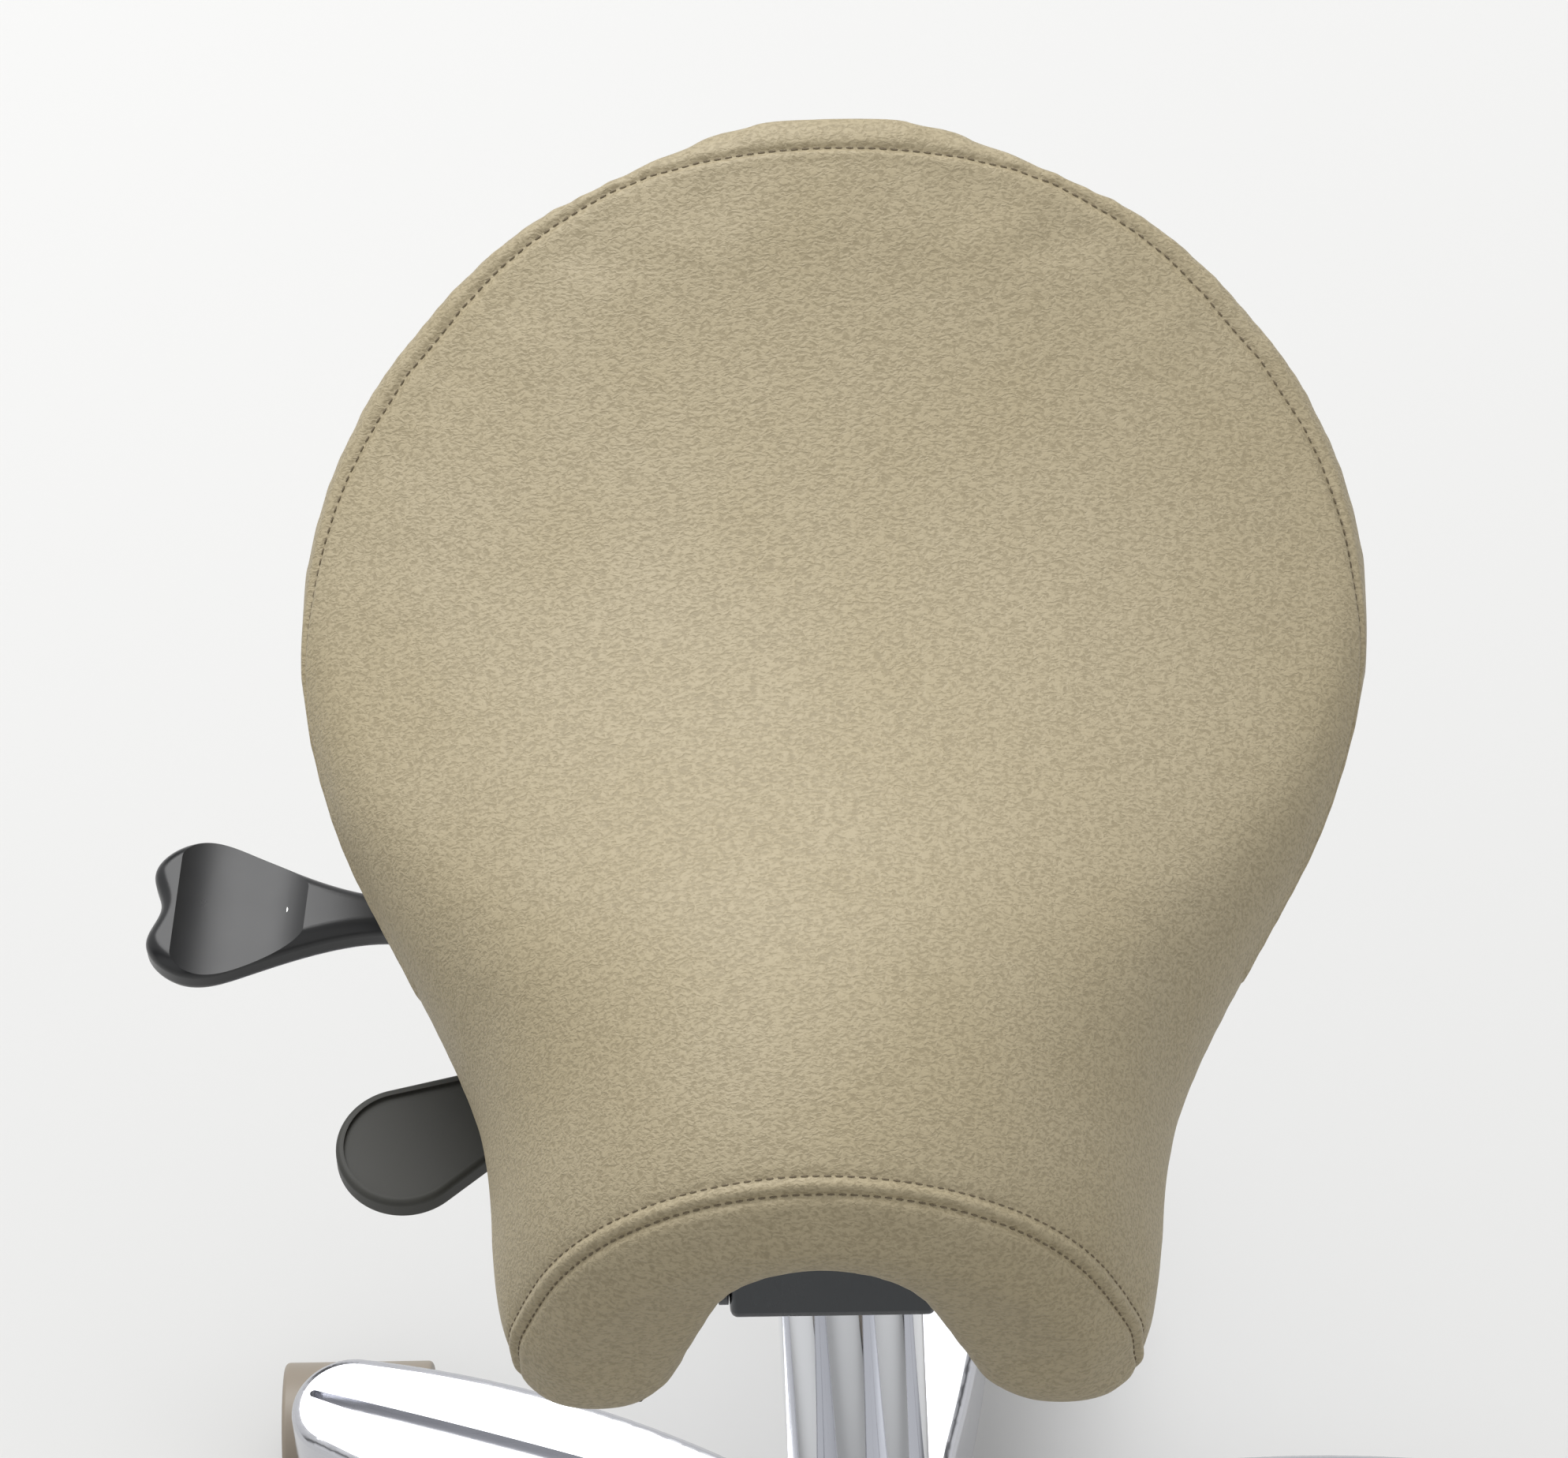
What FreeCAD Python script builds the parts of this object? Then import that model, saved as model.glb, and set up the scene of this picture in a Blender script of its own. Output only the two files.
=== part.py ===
"""Saddle stool: five-star base on casters, gas lift, tilt mechanism and saddle seat.

Millimetres, +Z up. The origin is on the floor under the column's axis. The front of the
seat faces -Y, and both levers are on the -X side.
"""
import FreeCAD
import Part
import math
import os
from collections import namedtuple

# Driving dimensions of the star base
ARM_COUNT = 5
ARM_PHASE = 10.9            # degrees from +X to the first arm
STEM_REACH = 210.0          # column axis to caster stem
ARM_TIP_R = 21.0            # round end of an arm, centred on the stem
ARM_MID_HALF = 28.8         # half width where the arm is widest
ARM_ROOT_HALF = 26.5
ARM_ROOT_REACH = 60.0
ARM_WIDEST_REACH = 145.0
HUB_R = 36.0
HUB_TOP = 121.0
HUB_BOTTOM = 60.0
ARM_UNDERSIDE = 63.0
ARM_TOP_AT_HUB = 118.5
ARM_TOP_MID = 105.5
ARM_TOP_AT_TIP = 86.5
ARM_EDGE_R = 4.0
ARM_WALL = 4.5
ARM_ROOF = 6.0
GROOVE_DEPTH = 4.5
GROOVE_TIP_REACH = 224.0
GROOVE_TIP_WIDTH = 3.0
GROOVE_ROOT_REACH = 66.0
GROOVE_ROOT_WIDTH = 20.0

# Driving dimensions of a caster
WHEEL_R = 25.0
WHEEL_WIDTH = 20.0
WHEEL_EDGE_R = 3.0
WHEEL_GAP = 0.7             # between a wheel's face and the hood beside it
WEB_HALF = 4.0              # half thickness of the hood's middle wall
HOOD_WALL = 2.2
HOOD_CLEARANCE = 1.2        # above the wheel's tread
CASTER_TRAIL = 23.0         # stem to axle
CASTER_TURN = -64.9         # degrees from an arm to the way its caster trails
AXLE_R = 4.0
STEM_R = 5.5
STEM_IN_HOOD = 19.0
HOOD_NECK_TOP = 57.0
HOOD_NECK_R = 9.5
SLEEVE_WALL = 1.2
SLEEVE_LENGTH = 19.0

# Driving dimensions of the gas lift
TUBE_R = 25.0
TUBE_WALL = 2.0
TUBE_TOP = 372.0
TUBE_BOTTOM = 66.0
TUBE_FOOT_R = 24.2          # narrow end of the taper that sits in the hub
TUBE_FLOOR = 4.0
CYLINDER_R = 14.0
CYLINDER_WALL = 1.5
CYLINDER_BOTTOM = 190.0
CYLINDER_TAPER = 50.0
CYLINDER_TOP_R = 13.2
CYLINDER_BORE_TOP = 450.0
BUSH_LENGTH = 115.0
BUSH_LIP = 2.0
ROD_R = 5.0
ROD_COLLAR_R = 9.0
ROD_COLLAR_HEIGHT = 4.0
PISTON_BOTTOM = 304.0
PISTON_HEIGHT = 12.0
END_GUIDE_HEIGHT = 10.0
BEARING_OUTER_R = 12.0
BEARING_INNER_R = 6.0
RACE_HEIGHT = 2.0
CAGE_HEIGHT = 3.2
BALL_COUNT = 9
CLIP_HEIGHT = 1.2
CLIP_R = 8.5
PIN_R = 4.0
PIN_LENGTH = 29.0
PIN_PROUD = 6.7
PIN_TRAVEL = 4.0

# Driving dimensions of the tilt mechanism
MECH_BOTTOM = 520.0
SHEET = 2.5
HOUSING_HALF = 33.0
HOUSING_FRONT = -126.0
HOUSING_BACK = 80.0
HOUSING_NOSE_R = 9.0
NOSE_TOP = 40.0             # heights over the housing's floor
SIDE_TOP_MID = 51.0
SIDE_TOP_BACK = 44.0
SOCKET_WALL = 4.5
SOCKET_BELOW = 25.0
SOCKET_ABOVE = 24.0
TILT_Y = -113.0
TILT_HEIGHT = 18.0
TILT_SHAFT_R = 5.0
BUSH_WALL = 1.5
LOCK_Y = -45.0
LOCK_HEIGHT = 30.0
SPINDLE_R = 4.0
TILT_FORWARD = 12.0         # degrees the seat may tip forward
TILT_BACK = 4.0
CLAMP_WASHER_R = 11.0
CLAMP_WASHER = 2.0
DISC_SPRING = 1.2
NUT_FLATS = 13.0
NUT_HEIGHT = 6.5

# Driving dimensions of the seat bracket and its screws
BRACKET_SHEET = 3.0
BRACKET_TOP = 65.0          # height over the housing's floor
BRACKET_HALF = 57.0         # inside the pan's flat middle, also at the front
BRACKET_FRONT = -72.0
BRACKET_BACK = 78.0
EAR_GAP = 0.4
EAR_R = 13.0
EAR_BOTTOM = 6.0
EAR_BACK = -27.0
SCREW_X = 50.0
SCREW_FRONT_Y = -48.0
SCREW_BACK_Y = 60.0
SCREW_R = 4.0
SCREW_HEAD_R = 6.5
SCREW_HEAD_HEIGHT = 4.5
TEE_FLANGE_R = 9.5
TEE_FLANGE = 1.5
TEE_BARREL_R = 5.2

# Driving dimensions of the levers
HEIGHT_LEVER_TURN = 175.0   # degrees from +X, seen from above
HEIGHT_LEVER_Z = 34.0       # rod's height at its pivot, over the housing's floor
HEIGHT_LEVER_PIVOT = 24.0   # column axis to pivot pin
HEIGHT_LEVER_DROP = 3.0     # degrees that the rod falls outwards
LEVER_ROD_R = 5.0
LEVER_PIN_R = 3.0
HEIGHT_ROD_REACH = 178.0
PADDLE_START = 128.0
PADDLE_END = 225.0
PADDLE_NECK = 20.0
PADDLE_WIDTH = 50.0
PADDLE_THICK = 14.0
PADDLE_DISH_R = 60.0
PADDLE_DISH = 4.0
PADDLE_EDGE_R = 5.0
LOCK_PADDLE_TURN = 207.0
LOCK_PADDLE_Z = 20.0
LOCK_PADDLE_REACH = 155.0   # column axis to the centre of the paddle's round end
LOCK_PADDLE_R = 22.0
LOCK_PADDLE_NECK = 16.0
LOCK_PADDLE_LENGTH = 62.0
LOCK_PADDLE_THICK = 9.0
LOCK_PADDLE_RIM = 2.6
LOCK_PADDLE_DISH = 1.4
PADDLE_SHOULDER = 75.0      # degrees from the neck to where the round end starts
CAM_R = 9.0
CAM_OFFSET = 1.2
CAM_WIDTH = 16.0
CAM_GAP = 0.1               # cam to washer
EYE_R = 6.0
EYE_WIDTH = 6.0
LOCK_ROD_R = 4.2

# Driving dimensions of the saddle seat
COVER = 1.6
PAN = 5.0
PAN_FRONT = -172.0          # the pan ends short of the foam's rounded ends
PAN_BACK = 200.0
SEAM_FRONT_Y = -164.0

# Clearances
RUNNING = 0.05              # radial, between a shaft and its hole
SEATED = 0.3                # between a piece and what carries it

# One cross-section of the seat, over the housing's floor: crown is the middle of the top,
# half and rim are the widest place, turn is where the crown's arc meets the flank's arc,
# edge is the outer lower corner, foot and arch shape the underside.
Section = namedtuple("Section", "y crown half rim turn edge_x edge_z foot_x arch_x arch_z roof")
SADDLE = [
    Section(-176.0, 139.0, 92.0, 50.0, 30.0, 75.0, 36.0, 62.0, 40.0, 92.0, 121.0),
    Section(-170.0, 147.0, 97.0, 50.0, 30.0, 76.0, 33.0, 59.0, 37.0, 92.0, 119.0),
    Section(-158.0, 154.0, 101.5, 52.0, 30.0, 78.0, 32.5, 58.0, 37.0, 88.0, 115.0),
    Section(-138.0, 160.0, 104.5, 56.0, 30.0, 82.0, 35.0, 59.0, 39.0, 78.0, 103.0),
    Section(-112.0, 164.0, 107.5, 63.0, 30.0, 87.0, 42.0, 62.0, 45.0, 68.0, 84.0),
    Section(-75.0, 163.0, 119.5, 74.0, 29.0, 97.0, 54.0, 76.0, 55.0, 65.4, 67.5),
    Section(-33.0, 156.0, 140.0, 85.0, 27.0, 118.0, 62.0, 98.0, 62.0, 65.4, 66.2),
    Section(20.0, 151.0, 162.5, 94.0, 25.0, 142.0, 67.0, 120.0, 68.0, 65.4, 66.2),
    Section(75.0, 155.0, 174.0, 102.0, 24.0, 154.0, 71.0, 132.0, 70.0, 65.4, 66.2),
    Section(127.0, 168.0, 162.0, 122.0, 24.0, 143.0, 80.0, 124.0, 64.0, 69.5, 68.5),
    Section(160.0, 180.0, 136.5, 145.0, 22.0, 119.0, 93.0, 104.0, 54.0, 81.0, 78.0),
    Section(185.0, 192.0, 108.0, 165.0, 20.0, 92.0, 111.0, 80.0, 40.0, 99.0, 95.0),
    Section(200.0, 200.0, 77.0, 178.0, 20.0, 64.0, 131.0, 56.0, 28.0, 121.0, 117.0),
    Section(207.0, 200.0, 45.0, 185.0, 20.0, 35.0, 152.0, 30.0, 16.0, 145.0, 142.0),
]

Z = FreeCAD.Vector(0, 0, 1)
X = FreeCAD.Vector(1, 0, 0)
Y = FreeCAD.Vector(0, 1, 0)
ORIGIN = FreeCAD.Vector(0, 0, 0)


def vec(x, y, z):
    """A point or direction."""
    return FreeCAD.Vector(x, y, z)


def polar(radius, degrees, z=0.0):
    """The point at a radius and an angle about the column's axis."""
    angle = math.radians(degrees)
    return vec(radius * math.cos(angle), radius * math.sin(angle), z)


def rod(radius, start, end):
    """A round bar between two points."""
    axis = end.sub(start)
    return Part.makeCylinder(radius, axis.Length, start, axis)


def ring(outer, inner, bottom, top):
    """An upright ring about the column's axis."""
    body = Part.makeCylinder(outer, top - bottom, vec(0, 0, bottom))
    return body.cut(Part.makeCylinder(inner, top - bottom + 2, vec(0, 0, bottom - 1)))


def revolved(points):
    """Turn a closed outline of (radius, height) points about the column's axis."""
    wire = Part.makePolygon([vec(r, 0, z) for r, z in points] + [vec(points[0][0], 0, points[0][1])])
    return Part.Face(wire).revolve(ORIGIN, Z, 360)


def profile(edges, direction):
    """Extrude a closed chain of edges along a vector."""
    return Part.Face(Part.Wire(Part.__sortEdges__(edges))).extrude(direction)


def line(start, end):
    """A straight edge."""
    return Part.makeLine(start, end)


def arc(start, middle, end):
    """A circular edge through three points."""
    return Part.Arc(start, middle, end).toShape()


def block(x0, x1, y0, y1, z0, z1):
    """A plain bar given by its corners."""
    return Part.makeBox(x1 - x0, y1 - y0, z1 - z0, vec(x0, y0, z0))


def turned(shape, degrees):
    """A copy turned about the column's axis."""
    copy = shape.copy()
    copy.rotate(ORIGIN, Z, degrees)
    return copy


def moved(shape, offset):
    """A copy moved by a vector."""
    copy = shape.copy()
    copy.translate(offset)
    return copy


def flip_x(point):
    """The same point on the other side of the YZ plane."""
    return vec(-point.x, point.y, point.z)


def flip_y(point):
    """The same point on the other side of the XZ plane."""
    return vec(point.x, -point.y, point.z)


def fused(shapes):
    """One solid from several that touch or overlap."""
    return shapes[0].multiFuse(shapes[1:]).removeSplitter()


def solid_of(shape):
    """The largest solid of a boolean result."""
    return max(shape.Solids, key=lambda one: one.Volume)


def save(name, shape):
    """Write one node's STEP file."""
    solids = shape.Solids
    shape = solids[0] if len(solids) == 1 else Part.makeCompound(solids)
    shape.exportStep("parts/" + name + ".step")
    print(name, len(solids), round(shape.Volume / 1000.0, 2), "cm3", shape.isValid())


# Star base

def side_centre(root, mid, stem, tip_r):
    """Centre of the circle through two points that touches an arm's round end from outside."""
    chord = mid.sub(root)
    normal = vec(chord.y, -chord.x, 0).normalize()
    middle = root.add(mid).multiply(0.5)
    half_squared = (chord.Length / 2) ** 2
    away = middle.sub(stem)
    gain = 2 * normal.dot(away)
    rest = half_squared + tip_r ** 2 - away.Length ** 2
    a = gain ** 2 - 4 * tip_r ** 2
    b = -2 * gain * rest
    c = rest ** 2 - 4 * tip_r ** 2 * half_squared
    return middle.add(normal.multiply((-b + math.sqrt(b ** 2 - 4 * a * c)) / (2 * a)))


def arm_plan(inset, height):
    """One arm's outline along +X, drawn in by a wall, as a tall prism."""
    root = vec(ARM_ROOT_REACH, ARM_ROOT_HALF - inset, 0)
    mid = vec(ARM_WIDEST_REACH, ARM_MID_HALF - inset, 0)
    stem, tip_r = vec(STEM_REACH, 0, 0), ARM_TIP_R - inset
    to_stem = stem.sub(side_centre(root, mid, stem, tip_r)).normalize()
    end = stem.add(to_stem.multiply(tip_r))
    tip = vec(STEM_REACH + tip_r, 0, 0)
    back = vec(0, ARM_ROOT_HALF - inset - 4.0, 0)

    edges = [
        line(back, root), arc(root, mid, end), arc(end, tip, flip_y(end)),
        arc(flip_y(end), flip_y(mid), flip_y(root)), line(flip_y(root), flip_y(back)),
        line(flip_y(back), back),
    ]
    return profile(edges, vec(0, 0, height))


def arm_envelope(lower):
    """The turned space under the arms' convex top, let down by a depth."""
    reach = STEM_REACH + ARM_TIP_R + 6.0
    slope = (ARM_TOP_MID - ARM_TOP_AT_TIP) / (reach - ARM_WIDEST_REACH)
    middle = vec(ARM_WIDEST_REACH - 10.0, 0, ARM_TOP_MID - lower + slope * 1.2)
    top = arc(vec(0, 0, ARM_TOP_AT_HUB - lower), middle, vec(reach, 0, ARM_TOP_AT_TIP - lower))
    edges = [
        line(ORIGIN, vec(0, 0, ARM_TOP_AT_HUB - lower)), top,
        line(vec(reach, 0, ARM_TOP_AT_TIP - lower), vec(reach, 0, 0)), line(vec(reach, 0, 0), ORIGIN),
    ]
    return Part.Face(Part.Wire(edges)).revolve(ORIGIN, Z, 360)


def groove():
    """The tapering channel cut along an arm's top."""
    near, far = GROOVE_ROOT_REACH, GROOVE_TIP_REACH
    wide, narrow = GROOVE_ROOT_WIDTH / 2, GROOVE_TIP_WIDTH / 2
    edges = [
        line(vec(near, -wide, 0), vec(far, -narrow, 0)),
        arc(vec(far, -narrow, 0), vec(far + narrow, 0, 0), vec(far, narrow, 0)),
        line(vec(far, narrow, 0), vec(near, wide, 0)),
        arc(vec(near, wide, 0), vec(near - wide, 0, 0), vec(near, -wide, 0)),
    ]
    return profile(edges, vec(0, 0, HUB_TOP + 20)).cut(arm_envelope(GROOVE_DEPTH))


def star_arm():
    """One die-cast arm along +X: rounded top edges, groove, hollow underside and stem boss."""
    arm = arm_plan(0.0, HUB_TOP + 20).common(arm_envelope(0.0))
    arm = arm.cut(block(-10, 300, -60, 60, -1, ARM_UNDERSIDE))
    top = []
    for edge in arm.Edges:
        box = edge.BoundBox
        on_side = abs(box.YMax) + abs(box.YMin) > 5 and box.ZMax - ARM_UNDERSIDE > 15
        if on_side and box.ZMin > ARM_UNDERSIDE + 8 and box.XMax > ARM_ROOT_REACH + 5:
            top.append(edge)
    arm = arm.makeFillet(ARM_EDGE_R, top)
    arm = arm.cut(groove())
    hollow = arm_plan(ARM_WALL, HUB_TOP).common(arm_envelope(GROOVE_DEPTH + ARM_ROOF))
    hollow = hollow.cut(block(-10, HUB_R + 2, -60, 60, -1, 200))
    hollow = hollow.cut(block(-10, 300, -ARM_WALL / 2, ARM_WALL / 2, -1, 200))
    boss = Part.makeCylinder(STEM_R + SLEEVE_WALL + ARM_WALL, 200, vec(STEM_REACH, 0, -1))
    return arm.cut(hollow.cut(boss))


def star_base():
    """Hub and five arms, with the column's taper and the caster sockets."""
    arm = star_arm()
    arms = [turned(arm, ARM_PHASE + 360.0 / ARM_COUNT * index) for index in range(ARM_COUNT)]
    collar = 3.0
    hub = revolved([
        (0, HUB_BOTTOM), (HUB_R - collar, HUB_BOTTOM), (HUB_R, HUB_BOTTOM + collar),
        (HUB_R, HUB_TOP - collar), (HUB_R - collar, HUB_TOP), (0, HUB_TOP),
    ])
    base = fused([hub] + arms)
    base = base.cut(revolved([
        (0, HUB_BOTTOM - 1), (taper_r(HUB_BOTTOM - 1), HUB_BOTTOM - 1),
        (taper_r(HUB_TOP + 1), HUB_TOP + 1), (0, HUB_TOP + 1),
    ]))
    for stem in stem_places():
        socket_r = STEM_R + SLEEVE_WALL
        base = base.cut(Part.makeCylinder(socket_r, SLEEVE_LENGTH, stem.add(vec(0, 0, ARM_UNDERSIDE))))
    return solid_of(base)


def taper_r(height):
    """The hub's bore radius, and so the tube's, at a height."""
    share = (height - TUBE_BOTTOM) / (HUB_TOP - TUBE_BOTTOM)
    return TUBE_FOOT_R + (TUBE_R - TUBE_FOOT_R) * share


def stem_places():
    """Where the five caster stems stand."""
    return [polar(STEM_REACH, ARM_PHASE + 360.0 / ARM_COUNT * index) for index in range(ARM_COUNT)]


def caster_sleeves():
    """The pressed sleeves that grip the caster stems."""
    top = ARM_UNDERSIDE + SLEEVE_LENGTH
    sleeve = ring(STEM_R + SLEEVE_WALL, STEM_R + RUNNING, ARM_UNDERSIDE, top)
    return Part.makeCompound([moved(sleeve, stem) for stem in stem_places()])


# Caster, built with its stem on the Z axis and trailing towards +Y

HOOD_R = WHEEL_R + HOOD_CLEARANCE + HOOD_WALL
WHEEL_INNER_X = WEB_HALF + WHEEL_GAP
WHEEL_OUTER_X = WHEEL_INNER_X + WHEEL_WIDTH
HOOD_HALF = WHEEL_OUTER_X + WHEEL_GAP + HOOD_WALL


def across(radius, x0, x1):
    """A disc on the axle's line, from one side to another."""
    return Part.makeCylinder(radius, x1 - x0, vec(x0, CASTER_TRAIL, WHEEL_R), X)


def caster_hood():
    """Twin-wheel hood: middle web, roof over both wheels, outer cheeks and stem neck."""
    hood = across(HOOD_R, -HOOD_HALF, HOOD_HALF)
    rims = [edge for edge in hood.Edges if abs(abs(edge.CenterOfMass.x) - HOOD_HALF) < 0.01]
    hood = hood.makeFillet(1.8, rims)
    neck = Part.makeCylinder(HOOD_NECK_R, HOOD_NECK_TOP - WHEEL_R, vec(0, 0, WHEEL_R))
    hood = fused([hood, neck])
    cavity_r = WHEEL_R + HOOD_CLEARANCE
    for side in (-1, 1):
        inner, outer = sorted((side * WEB_HALF, side * (HOOD_HALF - HOOD_WALL)))
        hood = hood.cut(across(cavity_r, inner, outer))
    low_front = vec(0, CASTER_TRAIL - HOOD_R - 20, WHEEL_R - 6)
    low_back = vec(0, CASTER_TRAIL + HOOD_R + 20, WHEEL_R + 4)
    opening = profile([
        line(low_front, low_back), line(low_back, vec(0, low_back.y, -20)),
        line(vec(0, low_back.y, -20), vec(0, low_front.y, -20)), line(vec(0, low_front.y, -20), low_front),
    ], vec(2 * HOOD_HALF + 2, 0, 0))
    opening.translate(vec(-HOOD_HALF - 1, 0, 0))
    axle_boss = across(AXLE_R + 4, -WEB_HALF, WEB_HALF)
    hood = fused([solid_of(hood.cut(opening)), axle_boss])
    hood = hood.cut(across(AXLE_R, -WEB_HALF - 1, WEB_HALF + 1))
    stem_hole = Part.makeCylinder(STEM_R, 60, vec(0, 0, HOOD_NECK_TOP - STEM_IN_HOOD))
    return solid_of(hood.cut(stem_hole))


def caster_stem():
    """Stem with its collar, and its ring groove near the top."""
    bottom = HOOD_NECK_TOP - STEM_IN_HOOD
    top = ARM_UNDERSIDE + SLEEVE_LENGTH - SEATED
    groove_z = top - 4.0
    return revolved([
        (0, bottom), (STEM_R, bottom), (STEM_R, HOOD_NECK_TOP), (STEM_R + 3.0, HOOD_NECK_TOP),
        (STEM_R + 3.0, ARM_UNDERSIDE - SEATED), (STEM_R, ARM_UNDERSIDE - SEATED), (STEM_R, groove_z),
        (STEM_R - 0.8, groove_z), (STEM_R - 0.8, groove_z + 1.5), (STEM_R, groove_z + 1.5),
        (STEM_R, top - 1), (STEM_R - 1, top), (0, top),
    ])


def caster_axle():
    """The axle across both wheels."""
    end = WHEEL_OUTER_X - 1.0
    return across(AXLE_R, -end, end)


def caster_wheel(side):
    """A moulded wheel with a hollow face round its hub."""
    inner, outer, edge = WHEEL_INNER_X, WHEEL_OUTER_X, WHEEL_EDGE_R
    outline = [
        line(vec(inner, AXLE_R + RUNNING, 0), vec(inner, WHEEL_R - edge, 0)),
        arc(vec(inner, WHEEL_R - edge, 0), vec(inner + 0.29 * edge, WHEEL_R - 0.29 * edge, 0),
            vec(inner + edge, WHEEL_R, 0)),
        line(vec(inner + edge, WHEEL_R, 0), vec(outer - edge, WHEEL_R, 0)),
        arc(vec(outer - edge, WHEEL_R, 0), vec(outer - 0.29 * edge, WHEEL_R - 0.29 * edge, 0),
            vec(outer, WHEEL_R - edge, 0)),
        line(vec(outer, WHEEL_R - edge, 0), vec(outer - 5.0, WHEEL_R - 7.0, 0)),
        line(vec(outer - 5.0, WHEEL_R - 7.0, 0), vec(outer - 5.0, AXLE_R + 5.0, 0)),
        line(vec(outer - 5.0, AXLE_R + 5.0, 0), vec(outer, AXLE_R + 4.0, 0)),
        line(vec(outer, AXLE_R + 4.0, 0), vec(outer, AXLE_R + RUNNING, 0)),
        line(vec(outer, AXLE_R + RUNNING, 0), vec(inner, AXLE_R + RUNNING, 0)),
    ]
    wheel = Part.Face(Part.Wire(outline)).revolve(ORIGIN, X, 360)
    if side < 0:
        wheel.rotate(ORIGIN, Z, 180)
    return moved(wheel, vec(0, CASTER_TRAIL, WHEEL_R))


def save_casters():
    """Five casters, each turned to trail at the same angle from its arm."""
    pieces = {
        "hood": caster_hood(),
        "stem_and_axle": Part.makeCompound([caster_stem(), caster_axle()]),
        "left_wheel": caster_wheel(-1),
        "right_wheel": caster_wheel(1),
    }
    for index, stem in enumerate(stem_places()):
        turn = ARM_PHASE + 360.0 / ARM_COUNT * index + CASTER_TURN - 90.0
        for name, shape in pieces.items():
            save("caster_%d_%s" % (index + 1, name), moved(turned(shape, turn), stem))


# Gas lift

TUBE_BORE = TUBE_R - TUBE_WALL
FLOOR_TOP = TUBE_BOTTOM + TUBE_FLOOR
CAGE_BOTTOM = FLOOR_TOP + RACE_HEIGHT
UPPER_RACE = CAGE_BOTTOM + CAGE_HEIGHT
COLLAR_BOTTOM = UPPER_RACE + RACE_HEIGHT
PISTON_TOP = PISTON_BOTTOM + PISTON_HEIGHT
CYLINDER_BORE = CYLINDER_R - CYLINDER_WALL
CYLINDER_TOP = MECH_BOTTOM + SOCKET_ABOVE - 2.0
TAPER_BOTTOM = CYLINDER_TOP - CYLINDER_TAPER


def column_outer_tube():
    """The chromed tube, closed at the foot and tapered where the hub grips it."""
    return revolved([
        (ROD_R + 0.5, TUBE_BOTTOM), (TUBE_FOOT_R, TUBE_BOTTOM), (TUBE_R, HUB_TOP), (TUBE_R, TUBE_TOP - 1.5),
        (TUBE_R - 1.0, TUBE_TOP), (TUBE_BORE, TUBE_TOP), (TUBE_BORE, FLOOR_TOP), (ROD_R + 0.5, FLOOR_TOP),
    ])


def column_guide_bush():
    """The long plastic guide in the tube's mouth."""
    bottom = TUBE_TOP - BUSH_LENGTH
    inner = CYLINDER_R + RUNNING
    return revolved([
        (inner, bottom), (TUBE_BORE, bottom), (TUBE_BORE, TUBE_TOP), (TUBE_R - 1.4, TUBE_TOP),
        (TUBE_R - 2.2, TUBE_TOP + BUSH_LIP), (inner, TUBE_TOP + BUSH_LIP),
    ])


def thrust_bearing():
    """Balls in their flat cage."""
    middle = (BEARING_OUTER_R + BEARING_INNER_R) / 2
    ball_r = CAGE_HEIGHT / 2 - 0.02
    height = CAGE_BOTTOM + CAGE_HEIGHT / 2
    cage = ring(BEARING_OUTER_R, BEARING_INNER_R, height - 0.5, height + 0.5)
    balls = []
    for index in range(BALL_COUNT):
        place = polar(middle, 360.0 / BALL_COUNT * index, height)
        balls.append(Part.makeSphere(ball_r, place))
        cage = cage.cut(Part.makeCylinder(ball_r + 0.1, 4, place.sub(vec(0, 0, 2))))
    return Part.makeCompound([cage] + balls)


def piston_rod():
    """The rod that stands on the bearing, with its collar and clip groove."""
    clip_top = TUBE_BOTTOM - SEATED
    clip_bottom = clip_top - CLIP_HEIGHT
    neck = ROD_R - 1.5
    return revolved([
        (0, HUB_BOTTOM + 1), (ROD_R, HUB_BOTTOM + 1), (ROD_R, clip_bottom), (neck, clip_bottom),
        (neck, clip_top), (ROD_R, clip_top), (ROD_R, COLLAR_BOTTOM), (ROD_COLLAR_R, COLLAR_BOTTOM),
        (ROD_COLLAR_R, COLLAR_BOTTOM + ROD_COLLAR_HEIGHT), (ROD_R, COLLAR_BOTTOM + ROD_COLLAR_HEIGHT),
        (ROD_R, PISTON_TOP + 4), (0, PISTON_TOP + 4),
    ])


def piston():
    """The piston on the rod's head, with its ring groove."""
    outer = CYLINDER_BORE - RUNNING
    middle = PISTON_BOTTOM + PISTON_HEIGHT / 2
    return revolved([
        (ROD_R, PISTON_BOTTOM), (outer, PISTON_BOTTOM), (outer, middle - 1.5), (outer - 1.5, middle - 1.5),
        (outer - 1.5, middle + 1.5), (outer, middle + 1.5), (outer, PISTON_TOP), (ROD_R, PISTON_TOP),
    ])


def gas_cylinder():
    """The pressure cylinder, with the upper taper and the valve pin's hole."""
    pin_hole = PIN_R + RUNNING
    pin_floor = CYLINDER_TOP + PIN_PROUD - PIN_LENGTH - PIN_TRAVEL - 1.0
    return revolved([
        (CYLINDER_BORE, CYLINDER_BOTTOM), (CYLINDER_R, CYLINDER_BOTTOM), (CYLINDER_R, TAPER_BOTTOM),
        (CYLINDER_TOP_R, CYLINDER_TOP), (pin_hole, CYLINDER_TOP), (pin_hole, pin_floor), (0, pin_floor),
        (0, CYLINDER_BORE_TOP), (CYLINDER_BORE, CYLINDER_BORE_TOP),
    ])


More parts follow.
